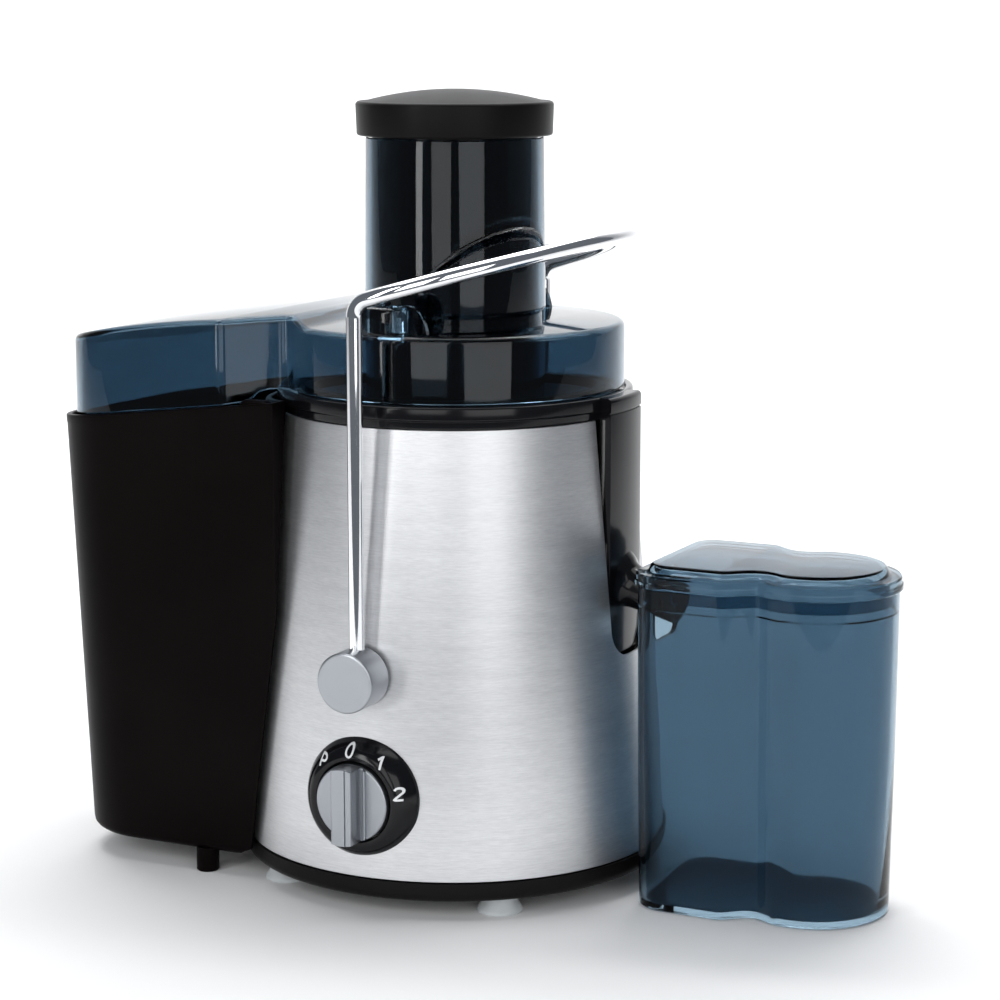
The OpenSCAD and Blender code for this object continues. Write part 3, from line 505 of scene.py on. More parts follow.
def spun_metal(name, centre, color, rough, bump=0.15):
    """Metal turned about an axis along Y through centre, with fine rings."""
    n = Nodes(name)
    where = n.position()
    shift = n.add("ShaderNodeVectorMath", operation="SUBTRACT")
    n.link(where, shift.inputs[0])
    shift.inputs[1].default_value = [c * MM for c in centre]
    flat = n.add("ShaderNodeVectorMath", operation="LENGTH")
    n.link(n.scaled(shift.outputs[0], (1, 0, 1)), flat.inputs[0])
    rings = n.add("ShaderNodeCombineXYZ")
    n.link(n.math("MULTIPLY", flat.outputs["Value"], 1.0), rings.inputs["X"])
    fine = n.noise(rings.outputs[0], 4200.0, 3.0, 0.6)
    dark = tuple(c * 0.86 for c in color)
    n.use(n.ramp(fine, [(0.3, dark), (0.7, color)]), "Base Color")
    n.use(n.spread(fine, rough - 0.05, rough + 0.06), "Roughness")
    n.bump(fine, bump, 0.00005)
    n.set(Metallic=1.0, Anisotropic=0.3)
    return n.material


def smoke(name, tint, ior):
    """Clear smoke-coloured plastic."""
    n = Nodes(name)
    rough = 0.02
    where = n.position()
    thin = tuple(min(1, c * 1.08) for c in tint)
    n.use(n.ramp(n.noise(where, 9.0, 2.0), [(0.3, tint), (0.7, thin)]), "Base Color")
    n.use(n.spread(n.noise(where, 30.0, 4.0), rough, rough + 0.03), "Roughness")
    n.bump(n.noise(where, 20.0, 1.0), 0.01, 0.0001)
    n.set(Transmission_Weight=1.0, IOR=ior)
    return n.material


def silicone():
    """Pale translucent silicone."""
    n = Nodes("silicone_foot")
    where = n.position()
    stops = [(0.3, (0.50, 0.53, 0.54)), (0.7, (0.62, 0.65, 0.66))]
    n.use(n.ramp(n.noise(where, 60.0, 3.0), stops), "Base Color")
    n.use(n.spread(n.noise(where, 80.0, 4.0), 0.30, 0.45), "Roughness")
    n.bump(n.noise(where, 500.0, 2.0), 0.1, 0.00008)
    n.set(Subsurface_Weight=0.4, Subsurface_Radius=(0.004, 0.004, 0.004), IOR=1.41)
    return n.material


def laminated(name, dark, light):
    """Stamped laminations stacked along Z."""
    n = Nodes(name)
    split = n.add("ShaderNodeSeparateXYZ")
    n.link(n.position(), split.inputs[0])
    layers = n.math("FRACT", n.math("MULTIPLY", split.outputs["Z"], 1600.0))
    n.use(n.ramp(layers, [(0.1, dark), (0.3, light)]), "Base Color")
    n.bump(layers, 0.4, 0.0001)
    n.use(n.spread(n.noise(n.position(), 120.0), 0.35, 0.55), "Roughness")
    n.set(Metallic=0.9)
    return n.material


def wound(name):
    """Enamelled copper wire, wound in turns along Z."""
    n = Nodes(name)
    split = n.add("ShaderNodeSeparateXYZ")
    n.link(n.position(), split.inputs[0])
    turns = n.math("SINE", n.math("MULTIPLY", split.outputs["Z"], 9000.0))
    n.use(n.ramp(turns, [(0.0, (0.25, 0.08, 0.03)), (0.6, (0.72, 0.30, 0.12))]), "Base Color")
    n.bump(turns, 0.5, 0.0003)
    n.use(n.spread(n.noise(n.position(), 90.0), 0.25, 0.4), "Roughness")
    n.set(Metallic=0.8)
    return n.material


def sieve_steel():
    """Thin steel with rows of fine holes round the basket, shown as dark dots."""
    n = Nodes("sieve_steel")
    split = n.add("ShaderNodeSeparateXYZ")
    n.link(n.position(), split.inputs[0])
    angle = n.math("ARCTAN2", split.outputs["Y"], split.outputs["X"])
    across = n.math("SINE", n.math("MULTIPLY", angle, 240.0))
    up = n.math("SINE", n.math("MULTIPLY", split.outputs["Z"], 4200.0))
    dots = n.math("MULTIPLY", across, up)
    n.use(n.ramp(dots, [(0.35, (0.62, 0.63, 0.65)), (0.6, (0.03, 0.03, 0.035))]), "Base Color")
    n.use(n.spread(n.noise(n.position(), 200.0), 0.25, 0.4), "Roughness")
    n.set(Metallic=1.0)
    return n.material


BLACK_GLOSS = moulded("black_gloss", (0.0030, 0.0030, 0.0038), (0.0052, 0.0052, 0.0064), 0.10, 0.18,
                      bump=0.03, specular=0.28)
BLACK_SATIN = moulded("black_satin", (0.0042, 0.0036, 0.0036), (0.0072, 0.0064, 0.0064), 0.34, 0.44,
                      bump=0.10, specular=0.10)
BIN_BLACK = moulded("container_black", (0.0026, 0.0016, 0.0016), (0.0044, 0.0030, 0.0030), 0.30, 0.40,
                    bump=0.08, specular=0.03)
DARK_RUBBER = moulded("dark_rubber", (0.012, 0.012, 0.012), (0.025, 0.025, 0.025), 0.6, 0.8, bump=0.3)
INNER_PLASTIC = moulded("inner_plastic", (0.03, 0.03, 0.033), (0.05, 0.05, 0.055), 0.45, 0.6)
NYLON = moulded("natural_nylon", (0.62, 0.60, 0.54), (0.72, 0.70, 0.65), 0.35, 0.5)
CARBON = moulded("pressed_carbon", (0.015, 0.015, 0.016), (0.03, 0.03, 0.032), 0.5, 0.7, bump=0.4)
PRINT_WHITE = moulded("printed_white", (0.72, 0.73, 0.74), (0.80, 0.81, 0.82), 0.4, 0.55, bump=0.05)
STEEL_SKIN = brushed_steel()
CHROME = metal("polished_chrome", (0.86, 0.87, 0.89), (0.93, 0.93, 0.94), 0.03, 0.07, bump=0.01)
BRIGHT_STEEL = metal("bright_steel", (0.55, 0.56, 0.57), (0.68, 0.69, 0.70), 0.2, 0.35)
CAST = metal("pressed_bracket", (0.30, 0.30, 0.31), (0.42, 0.42, 0.43), 0.4, 0.6, bump=0.3)
SMOKE_LID = smoke("smoke_lid", (0.105, 0.175, 0.235), ior=1.36)
SMOKE_JUG = smoke("smoke_jug", (0.195, 0.285, 0.355), ior=1.22)
SILICONE = silicone()
SIEVE = sieve_steel()
LAMINATED = laminated("laminated_iron", (0.10, 0.10, 0.11), (0.36, 0.36, 0.38))
WOUND = wound("wound_copper")
HUB_METAL = spun_metal("spun_hub", (0, 0, (HUB_LOW.z + HUB_HIGH.z) / 2), (0.44, 0.46, 0.49), 0.30)
KNOB_METAL = spun_metal("spun_knob", (0, 0, KNOB_Z), (0.40, 0.42, 0.45), 0.32)


# ---------------------------------------------------------------- body

def build_skin():
    """The steel sheet wrapped round the body, open on the container's side, slotted for the apron."""
    half = 180 - NEST_HALF_ANGLE - 0.3
    columns = 264
    angles = [math.radians(-half + 2 * half * k / columns) for k in range(columns + 1)]
    z0, z1 = SKIN_LOW.z, SKIN_HIGH.z
    lip = 0.25
    profile = [(-SKIN_T, z0), (-lip, z0), (0, z0 + lip)]
    profile += [(0, z0 + (z1 - z0) * k / 6) for k in range(1, 6)]
    profile += [(0, z1 - lip), (-lip, z1), (-SKIN_T, z1)]
    bm = bmesh.new()
    rows = [[Vector(((body_r(z) + d) * math.cos(a), (body_r(z) + d) * math.sin(a), z)) for a in angles]
            for d, z in profile]
    verts = add_grid(bm, rows, closed_rows=True, closed_columns=False)
    for end in (0, -1):
        bm.faces.new([row[end] for row in verts])
    skin = finish_mesh("steel_wrap", bm, None, STEEL_SKIN)

    # Cutters: the slot for the apron, the dial's hole and the holes for the arm's pins
    bm = bmesh.new()
    w, low, r = SLOT_HALF_W, SLOT_LOW_Z, SLOT_CORNER_R
    above = 300
    outline = rounded([(-w, above), (-w, low), (w, low), (w, above)], [0, r, r, 0], 10)
    add_prism(bm, [[Vector((x, p.x, p.y)) for p in outline] for x in (40, 140)])
    cutters = [helper("slot", bm)]
    near, far = 60, 120
    holes = ((BEZEL_HOLE_R, near, far, KNOB_Z), (PIN_HOLE_R, near, far, PIVOT_Z),
             (PIN_HOLE_R, -far, -near, PIVOT_Z))
    for radius, y0, y1, z in holes:
        bm = bmesh.new()
        add_lathe(bm, [(0, y0), (radius, y0), (radius, y1), (0, y1)], 48, closed=False,
                  turn=lambda p, z=z: to_front(p) + Vector((0, 0, z)))
        cutters.append(helper("hole", bm))
    cut_with(skin, cutters)
    smooth(skin.data)
    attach(skin, "root")
    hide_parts("steel_skin")


def build_base():
    """The tray's visible ring, with a rounded lower edge and a thin step under the steel."""
    low, high = span("base_tray")
    r = high.y
    profile = rounded([(r - 12, low.z), (r, low.z), (r, high.z), (r - 3.5, high.z), (r - 3.5, low.z + 3),
                       (r - 12, low.z + 3)], [0, 4.5, 0.8, 0.5, 0.5, 0], 8)
    bm = bmesh.new()
    add_lathe(bm, profile)
    finish_mesh("base_ring_edge", bm, "root", BLACK_SATIN)


def build_feet():
    """Suction feet: a flared cup with a thin lip, and a neck under the tray."""
    foot_gap = span("base_tray")[0].z
    neck_top, neck_r, stem_r = foot_gap - 0.2, 7.6, 4
    bm = bmesh.new()
    profile = rounded([(0, 2.4), (neck_r, 0.05), (10.3, 0), (10.0, 1.6), (8.4, 3.9), (neck_r, 5.4),
                       (neck_r, neck_top), (0, neck_top)], [0, 0.5, 0.4, 0.8, 1.5, 1.0, 0.4, 0], 5)
    stem = [(0, neck_top), (stem_r, neck_top), (stem_r, FEET_HIGH.z), (0, FEET_HIGH.z)]
    for degrees in FOOT_TURNS:
        a = math.radians(degrees)
        shift = Vector((FOOT_RING_R * math.cos(a), FOOT_RING_R * math.sin(a), 0))
        add_lathe(bm, profile, 64, closed=False, turn=lambda p, s=shift: p + s)
        add_lathe(bm, stem, 32, closed=False, turn=lambda p, s=shift: p + s)
    finish_mesh("suction_cups", bm, "root", SILICONE, nodes=("suction_feet",))


def build_collector():
    """Rim ring with its lip, bowl, apron down the slot, and channel."""
    bm = bmesh.new()
    top, low = RIM_TOP_Z, RIM_LOW_Z
    bowl_r, bowl_in_r, bowl_low = 75, 75 - 2.4, 160.5
    floor_z, collar_r, collar_out_r, collar_top = 162.9, 21.5, 23.9, 182
    # Rim ring and bowl in one turned shape: the lip stands over a narrow groove
    profile = rounded([
        (collar_r, collar_top), (collar_r, bowl_low), (bowl_r, bowl_low), (bowl_r, low), (RIM_R - 1.2, low),
        (RIM_R - 1.2, low + 3.2), (RIM_R, low + 4.0), (RIM_R, top), (RIM_R - 3.4, top),
        (RIM_R - 3.8, top - 2.2), (bowl_in_r, top - 2.2), (bowl_in_r, floor_z), (collar_out_r, floor_z),
        (collar_out_r, collar_top)],
        [0, 1, 3, 0.5, 0.6, 0.4, 0.6, 1.6, 1.0, 0.5, 0.5, 3, 1, 0], 5)
    add_lathe(bm, profile, 224)
    # Apron: a curved plate in the slot, with a block on top that joins it to the rim
    half = SLOT_HALF_W - 0.7

    def curved_plate(r_out, r_in, z0, z1, round_r):
        edge = math.asin(half / r_out)
        angles = [-edge + 2 * edge * k / 24 for k in range(25)]
        section = rounded([(r_in, z0), (r_out, z0), (r_out, z1), (r_in, z1)], [0, 0.4, round_r, 0.4], 6)
        rows = [[Vector((p.x * math.cos(a), p.x * math.sin(a), p.y)) for p in section] for a in angles]
        add_prism(bm, rows)

    seam = top - 7
    curved_plate(APRON_R, APRON_R - 3.2, SLOT_LOW_Z + 1, seam - 0.35, 0.4)
    curved_plate(APRON_R + 0.1, bowl_r + 2, seam + 0.35, top - 0.2, 2.0)
    curved_plate(APRON_R - 0.6, bowl_r + 1, seam - 3, seam + 3, 0.2)
    # The channel behind the apron, from the bowl to the spout
    add_box(bm, (66, -half, COLLECTOR_LOW.z + 16.5), (84.6, half, 161), 1.2)
    finish_mesh("collector", bm, "root", BLACK_GLOSS, nodes=("juice_collector",))


def build_spout():
    """A round nozzle that slopes down, with a flared root."""
    along = Vector((math.cos(SPOUT_SLOPE), 0, -math.sin(SPOUT_SLOPE)))
    up = Vector((math.sin(SPOUT_SLOPE), 0, math.cos(SPOUT_SLOPE)))
    start = Vector((APRON_R - 1.5, 0, SPOUT_Z))
    length = (SPOUT_HIGH.x - APRON_R) / math.cos(SPOUT_SLOPE) + 1.2
    out_r, bore_r = 9.5, 7.3
    stations = [(-2, 14.5), (0.4, 12.6), (2.0, 10.8), (4.5, 9.8), (7, out_r), (length - 0.8, out_r),
                (length, 9.2), (length, 7.6), (length - 0.8, bore_r), (3, bore_r), (-2, bore_r)]
    rows = [[start + along * s + (Vector((0, 1, 0)) * math.cos(a) + up * math.sin(a)) * r
             for a in full_turn(56)] for s, r in stations]
    bm = bmesh.new()
    add_grid(bm, rows, closed_rows=True)
    finish_mesh("spout_nozzle", bm, "root", BLACK_GLOSS, nodes=("spout",))


# ---------------------------------------------------------------- lid

def lid_outline():
    """Half plan of the whole lid from the cover's outer end round to the jug's side."""
    end_x, w, lid_r = LID_LOW.x, 75, LID_HIGH.x
    join = math.degrees(math.atan2(52, -58))
    straight = rounded([(end_x, 0), (end_x, w), (-80, w), (-57.5, 52.7)] +
                       [tuple(arc((0, 0), lid_r, join - 5, join - 5, 1)[0])],
                       [0, 37, 9, 5, 0], 14)
    line = densify(straight, 5)
    return line + arc((0, 0), lid_r, join - 7, 0, 52)


def lid_top(x):
    """Height of the lid's top along X: the curved cover, then a step down to the flat round part."""
    if x < -COVER_START_X:
        return cover_z(x)
    return blend(COVER_HIGH_Z, LID_TOP_Z, (x + COVER_START_X) / 16)


def lid_bottom(x):
    if x < -72:
        return rim_z(x) + 0.3
    return blend(rim_z(-72) + 0.3, LID_LOW_RING, (x + 72) / 6)


def build_lid():
    """One clear moulding: round part, pulp cover, feed chute, lock blocks and their ribs."""
    half = lid_outline()
    edge_r = 3.2
    wall = LID_WALL

    def ring(d, z_of):
        return [Vector((p.x, p.y, z_of(q.x))) for p, q in zip(mirrored(inset(half, d)), mirrored(half))]

    rings = [ring(wall + 2.0, lambda x: lid_top(x) - wall),
             ring(wall + 0.6, lambda x: lid_top(x) - wall - 0.6),
             ring(wall, lambda x: lid_top(x) - wall - 2.0),
             ring(wall, lambda x: lid_bottom(x) + 0.3),
             ring(wall - 0.4, lid_bottom),
             ring(0.4, lid_bottom),
             ring(0, lambda x: lid_bottom(x) + 0.4)]
    rings += [ring(edge_r - edge_r * math.cos(t), lambda x, t=t: lid_top(x) - edge_r + edge_r * math.sin(t))
              for t in (math.radians(15 * k) for k in range(7))]
    bm = bmesh.new()
    add_loft(bm, rings)
    lid = finish_mesh("clear_lid", bm, None, SMOKE_LID)

    chute_low, chute_top = LID_LOW_CHUTE, LID_HIGH.z
    neck, out_r = 39.9, 41.1
    outer = rounded([(CHUTE_R - 0.1, chute_low), (out_r, chute_low), (out_r, LID_TOP_Z - 3),
                     (neck, LID_TOP_Z - 2), (neck, LID_TOP_Z + 3.6), (41.5, LID_TOP_Z + 6.0),
                     (40.7, chute_top), (0, chute_top)],
                    [0, 0.6, 0.5, 0.5, 0.5, 0.8, 0.8, 0], 4)
    bm = bmesh.new()
    add_lathe(bm, [(0, chute_low)] + outer, 160, closed=False)
    add_parts = [helper("chute", bm)]
    # Lock blocks with round shoulders, and the curved rib beside each
    for s in (-1, 1):
        bm = bmesh.new()
        y0, y1 = sorted((s * 59.5, s * 76.3))
        add_box(bm, (-9, y0, LID_TOP_Z - 2), (9, y1, LID_TOP_Z + 12), 2.6, 5)
        add_parts.append(helper("lock_block", bm))
        bm = bmesh.new()
        outline = [Vector((9 + 10 * math.sin(t), LID_TOP_Z - 2 + 14.2 * math.cos(t)))
                   for t in (math.radians(7.5 * k) for k in range(13))]
        outline = [Vector((4, LID_TOP_Z + 12.2))] + outline + [Vector((4, LID_TOP_Z - 2))]
        y0, y1 = sorted((s * 62.5, s * 65.0))
        add_prism(bm, [[Vector((p.x, y, p.y)) for p in outline] for y in (y0, y1)])
        add_parts.append(helper("rib", bm))
    cut_with(lid, add_parts, "UNION")
    bm = bmesh.new()
    bore = [(0, chute_low - 5), (CHUTE_R, chute_low - 5), (CHUTE_R, chute_top - 0.8),
            (CHUTE_R + 0.8, chute_top), (CHUTE_R + 0.8, chute_top + 5), (0, chute_top + 5)]
    add_lathe(bm, bore, 160, closed=False)
    cut_with(lid, [helper("bore", bm)])
    smooth(lid.data)
    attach(lid, "root")
    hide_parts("lid")


def build_pusher():
    """Pusher: a hollow cup in the chute and a domed cap with soft edges."""
    bm = bmesh.new()
    r = PUSHER_HIGH.x
    low, high = PUSHER_LOW.z, PUSHER_HIGH.z
    profile = rounded([(0, low), (r, low), (r, high), (r - 2.2, high), (r - 2.2, low + 2.2), (0, low + 2.2)],
                      [0, 2.5, 0.3, 0.3, 1.5, 0], 5)
    add_lathe(bm, profile, 128, closed=False)
    finish_mesh("pusher_cup", bm, "pusher", BLACK_GLOSS, nodes=("pusher_body",))

    bm = bmesh.new()
    r = CAP_HIGH.x
    low, high = CAP_LOW.z, CAP_HIGH.z
    dome_h = 6.5
    side = high - dome_h
    dome_r = (r * r + dome_h * dome_h) / (2 * dome_h)
    dome = [(dome_r * math.sin(t), high - dome_r + dome_r * math.cos(t))
            for t in (math.asin((r - 2.6) / dome_r) * k / 14 for k in range(15))]
    shoulder = rounded([(0, low), (r - 0.5, low), (r, side), (r - 1.2, side + 1.3), dome[-1]],
                       [0, 1.2, 1.6, 1.2, 0], 6)
    add_lathe(bm, shoulder + dome[-2::-1], 160, closed=False)
    finish_mesh("pusher_top", bm, "pusher", BLACK_SATIN, nodes=("pusher_cap",))


# ---------------------------------------------------------------- pulp container

def bin_paths(z, wall):
    """Outer path and nest path of the container at a height, both from the middle plane to the tip."""
    down = (BIN_RIM_Z - z) / (BIN_RIM_Z - BIN_FLOOR_Z)
    end_x = BIN_LOW.x + BIN_DRAFT * down + wall
    w = BIN_HALF_W - 1.5 * down - wall
    nest = 101.3 + (84.7 - 101.3) * (z - BIN_FLOOR_Z) / (222 - BIN_FLOOR_Z) + wall
    tip_x = min(-52.0 - wall, -math.sqrt(max(1, nest * nest - w * w)) - 1.5)
    if wall:
        tip_x = min(tip_x, -math.sqrt(max(1, nest * nest - w * w)) - 4)
    corner = 38 - wall
    outer = rounded([(end_x, 0), (end_x, w), (tip_x, w)], [0, corner, 0], 14)
    tip_y = math.sqrt(max(1, nest * nest - tip_x * tip_x))
    tip_y = min(tip_y, w - 1)
    a1 = math.atan2(tip_y, tip_x)
    near = [Vector((nest * math.cos(t), nest * math.sin(t)))
            for t in (math.pi + (a1 - math.pi) * k / BIN_STEPS for k in range(BIN_STEPS + 1))]
    return outer, near


def even(line, n):
    """The line as n + 1 points at even distances."""
    lengths = [0]
    for a, b in zip(line, line[1:]):
        lengths.append(lengths[-1] + (b - a).length)
    out = []
    for k in range(n + 1):
        s = lengths[-1] * k / n
        i = max(j for j in range(len(lengths)) if lengths[j] <= s + 1e-9)
        i = min(i, len(line) - 2)
        gap = lengths[i + 1] - lengths[i]
        out.append(line[i] + (line[i + 1] - line[i]) * ((s - lengths[i]) / gap if gap else 0))
    return out


def bin_outline(z, wall):
    """Half outline of the container at a height: outer path to the tip, then the nest back to the middle."""
    outer, near = bin_paths(z, wall)
    return even(outer, BIN_STEPS) + near[::-1]


def bin_half(z_of_x, wall):
    """Half ring of the container on a sloping level, where each point takes the outline of its own height."""
    out = []
    middle_x = -120
    for i, p in enumerate(bin_outline(z_of_x(middle_x), wall)):
        z = z_of_x(p.x)
        q = bin_outline(z, wall)[i]
        out.append(Vector((q.x, q.y, z)))
    return out


def build_bin():
    """Crescent pulp container with a sloping rim, a nest for the body, a bead and two pegs."""
    n = BIN_STEPS + 1
    levels = []

    def level(z_of_x, wall):
        half = bin_half(z_of_x, wall)
        levels.append(half + [Vector((p.x, -p.y, p.z)) for p in reversed(half[1:-1])])

    def flat(z):
        return lambda x: z

    # Inside, from the cavity's floor up to the rim
    cavity = BIN_FLOOR_Z + 3
    level(flat(cavity), 5.5)
    level(flat(cavity + 0.8), 3.3)
    level(flat(cavity + 3), 2.5)
    for share in (0.2, 0.4, 0.6, 0.8):
        level(lambda x, s=share: cavity + 3 + (rim_z(x) - 4 - cavity) * s, 2.5)
    level(lambda x: rim_z(x) - 0.5, 2.5)
    level(rim_z, 2.1)
    # Over the rim and its bead
    level(rim_z, 0.2)
    level(lambda x: rim_z(x) - 0.5, -0.2)
    level(lambda x: rim_z(x) - 3.4, -0.2)
    level(lambda x: rim_z(x) - 4.2, 0.0)
    for share in (0.85, 0.7, 0.55, 0.4, 0.25, 0.12):
        level(lambda x, s=share: BIN_FLOOR_Z + 4 + (rim_z(x) - 8 - BIN_FLOOR_Z) * s, 0.0)
    level(flat(BIN_FLOOR_Z + 4), 0.0)
    for t in (22.5, 45, 67.5, 90):
        a = math.radians(t)
        level(flat(BIN_FLOOR_Z + 4 - 4 * math.sin(a)), 4 - 4 * math.cos(a) + 0.001)

    bm = bmesh.new()
    verts = add_grid(bm, levels)
    for ring in (verts[0], verts[-1]):
        total = len(ring)
        for side in (1, -1):
            index = [(side * k) % total for k in range(2 * n)]
            for k in range(n - 1):
                a, b = ring[index[k]], ring[index[k + 1]]
                c, d = ring[index[2 * n - 2 - k]], ring[index[2 * n - 1 - k]]
                corners = list(dict.fromkeys((a, b, c, d)))
                if len(corners) > 2 and bm.faces.get(corners) is None:
                    bm.faces.new(corners)
    # Pegs
    peg_top = BIN_FLOOR_Z + 1
    profile = rounded([(0, 0), (PEG_R, 0), (PEG_R, peg_top), (0, peg_top)], [0, 1.0, 0, 0], 4)
    for s in (-1, 1):
        shift = Vector((-94, s * (BIN_HALF_W - PEG_R - 1), 0))
        add_lathe(bm, profile, 40, closed=False, turn=lambda p, s=shift: p + s)
    # Lugs that hold the tips against the collector's rim
    for s in (-1, 1):
        y0, y1 = sorted((s * 69.5, s * 77.4))
        add_box(bm, (-70, y0, 214), (-56, y1, rim_z(-63) + 1.6), 2.4, 5)
    finish_mesh("pulp_bin", bm, "root", BIN_BLACK, nodes=("pulp_container",), angle=38)


# ---------------------------------------------------------------- locking arm

def build_arm():
    """The bent rod and its two turned hubs."""
    leg_y = (ROD_HIGH.y - ROD_LOW.y) / 2 - ROD_R
    tangent = ROD_CORNER_R * math.tan((math.pi / 2 - LOOP_SLOPE) / 2)
    link = 0.02
    start = tangent + link
    s, c = math.sin(LOOP_TURN), math.cos(LOOP_TURN)
    width = leg_y - link * c
    length = LOOP_REACH - start - link * s
    det = 1 - s - c
    side_r = (width * (1 - c) - s * length) / det
    end_r = ((1 - s) * length - c * width) / det
    x_dir = Vector((math.cos(LOOP_SLOPE), 0, math.sin(LOOP_SLOPE)))

    def in_loop(along, y):
        return Vector((0, y, ARM_CORNER_Z)) + x_dir * along

    half = [Vector((0, -leg_y, z)) for z in (ROD_LOW.z, 150, 200, 240, ARM_CORNER_Z - tangent - link)]
    centre = Vector((ROD_CORNER_R, -leg_y, ARM_CORNER_Z - tangent))
    turn = math.pi / 2 - LOOP_SLOPE
    for k in range(1, 13):
        t = turn * k / 12
        half.append(centre + Vector((-ROD_CORNER_R * math.cos(t), 0, ROD_CORNER_R * math.sin(t))))
    steps = 26
    for k in range(0, steps + 1):
        t = -math.pi / 2 + (math.pi / 2 - LOOP_TURN) * k / steps
        half.append(in_loop(start + side_r * math.cos(t), -(leg_y - side_r) + side_r * math.sin(t)))
    for k in range(1, steps + 1):
        t = -LOOP_TURN + LOOP_TURN * k / steps
        half.append(in_loop(LOOP_REACH - end_r + end_r * math.cos(t), end_r * math.sin(t)))
    path = half + [Vector((p.x, -p.y, p.z)) for p in reversed(half[:-1])]
    bm = bmesh.new()
    add_tube(bm, path, ROD_R, 36)
    finish_mesh("arm_bow", bm, "locking_arm", CHROME, nodes=("arm_rod",), angle=60)

    face, back = -HUB_LOW.y, -HUB_HIGH.y
    hub_r = HUB_HIGH.x
    bore_r, bore_end = 5.05, face - 3
    profile = rounded([(bore_r, back), (hub_r, back), (hub_r, face - 0.2), (hub_r - 1.2, face),
                       (0, face - 0.5)], [0, 0.6, 0.8, 1.4, 0], 6)
    profile += [(0, bore_end), (bore_r, bore_end)]
    z = (HUB_LOW.z + HUB_HIGH.z) / 2
    for side, name, node in ((1, "hub_cap_front", "arm_hub_front"), (-1, "hub_cap_back", "arm_hub_back")):
        bm = bmesh.new()
        add_lathe(bm, profile, 96, closed=True,
                  turn=lambda p, s=side: Vector((p.x, -p.z * s, p.y * s + z)))
        hub = finish_mesh(name, bm, None, HUB_METAL)
        bm = bmesh.new()
        add_tube(bm, [Vector((0, -side * leg_y, z)) for z in (ROD_LOW.z - 0.2, 140)], ROD_R + 0.05, 36)
        cut_with(hub, [helper("socket", bm)])
        smooth(hub.data)
        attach(hub, "locking_arm")
        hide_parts(node)


# ---------------------------------------------------------------- dial

def bezel_y(r):
    """How far the domed bezel stands out at a radius from the knob's axis."""
    t = max(0, (r - BEZEL_FLAT_R) / (BEZEL_R + 1 - BEZEL_FLAT_R))
    return BEZEL_FACE - 9 * t ** 2.1


def build_dial():
    """Domed bezel, and the knob with its grip bar."""
    bore = 18.2
    inside_y = 84
    radii = [BEZEL_FLAT_R + (BEZEL_R + 1 - BEZEL_FLAT_R) * k / 16 for k in range(17)]
    dome = [(r, bezel_y(r)) for r in radii[::-1]]
    profile = [(bore, inside_y), (BEZEL_R + 1.4, inside_y)] + dome
    profile += [(bore + 0.5, BEZEL_FACE - 0.1), (bore, BEZEL_FACE - 0.7)]
    bm = bmesh.new()
    add_lathe(bm, profile, 144, turn=lambda p: to_front(p) + Vector((0, 0, KNOB_Z)))
    bezel = finish_mesh("bezel_ring", bm, None, BLACK_GLOSS)
    bm = bmesh.new()
    inner = [(body_r(z) + 0.15, z) for z in (KNOB_Z - 60, KNOB_Z + 60)]
    add_lathe(bm, [(0, inner[0][1]), inner[0], inner[1], (0, inner[1][1])], 256, closed=False)
    cut_with(bezel, [helper("body_cone", bm)])
    smooth(bezel.data)
    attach(bezel, "root")
    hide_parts("dial_bezel")

    # Knob: a turned skirt and disc
    bm = bmesh.new()
    tip = -KNOB_LOW.y
    disc_face = BEZEL_FACE + 2
    knob_r = (KNOB_HIGH.x - KNOB_LOW.x) / 2
    back = -KNOB_HIGH.y
    bore_r, bore_end = 3.2, disc_face - 2.5
    profile = rounded([(bore_r, back), (knob_r, back), (knob_r, disc_face), (0, disc_face)],
                      [0, 0.4, 0.9, 0], 7)
    profile += [(0, bore_end), (bore_r, bore_end)]
    add_lathe(bm, profile, 144, turn=lambda p: to_front(p) + Vector((0, 0, KNOB_Z)))
    knob = finish_mesh("knob_grip", bm, None, KNOB_METAL)
    parts = []
    # Grip bar, cut to the disc's round, and a low rib beside it
    for x0, x1, y1, edge in ((-5, 5, tip, 0.9), (6.4, 7.6, disc_face + 1.3, 0.4)):
        bm = bmesh.new()
        add_box(bm, (x0, -y1, KNOB_Z - knob_r - 4), (x1, -disc_face + 0.8, KNOB_Z + knob_r + 4), edge, 5)
        bar = helper("bar", bm)
        bm = bmesh.new()
        limit_r, start, end = knob_r - 0.15, disc_face - 2, y1 + 0.3
        limit = rounded([(0, start), (limit_r, start), (limit_r, end), (0, end)], [0, 0, 0.9, 0], 5)
        add_lathe(bm, limit, 144, closed=False, turn=lambda p: to_front(p) + Vector((0, 0, KNOB_Z)))
        cut_with(bar, [helper("round", bm)], "INTERSECT")
        parts.append(bar)
    cut_with(knob, parts, "UNION")
    bm = bmesh.new()
    add_box(bm, (1.9, -tip - 2, KNOB_Z - knob_r - 3), (2.6, -tip + 0.8, KNOB_Z + knob_r + 3))
    cut_with(knob, [helper("groove", bm)])
    smooth(knob.data)
    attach(knob, "knob")
    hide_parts("control_knob")


def circle_points(cx, cz, rx, rz, start, end, steps):
    """Points of an arc of an ellipse, with its angles in degrees."""
    return [(cx + rx * math.cos(math.radians(start + (end - start) * k / steps)),
             cz + rz * math.sin(math.radians(start + (end - start) * k / steps))) for k in range(steps + 1)]


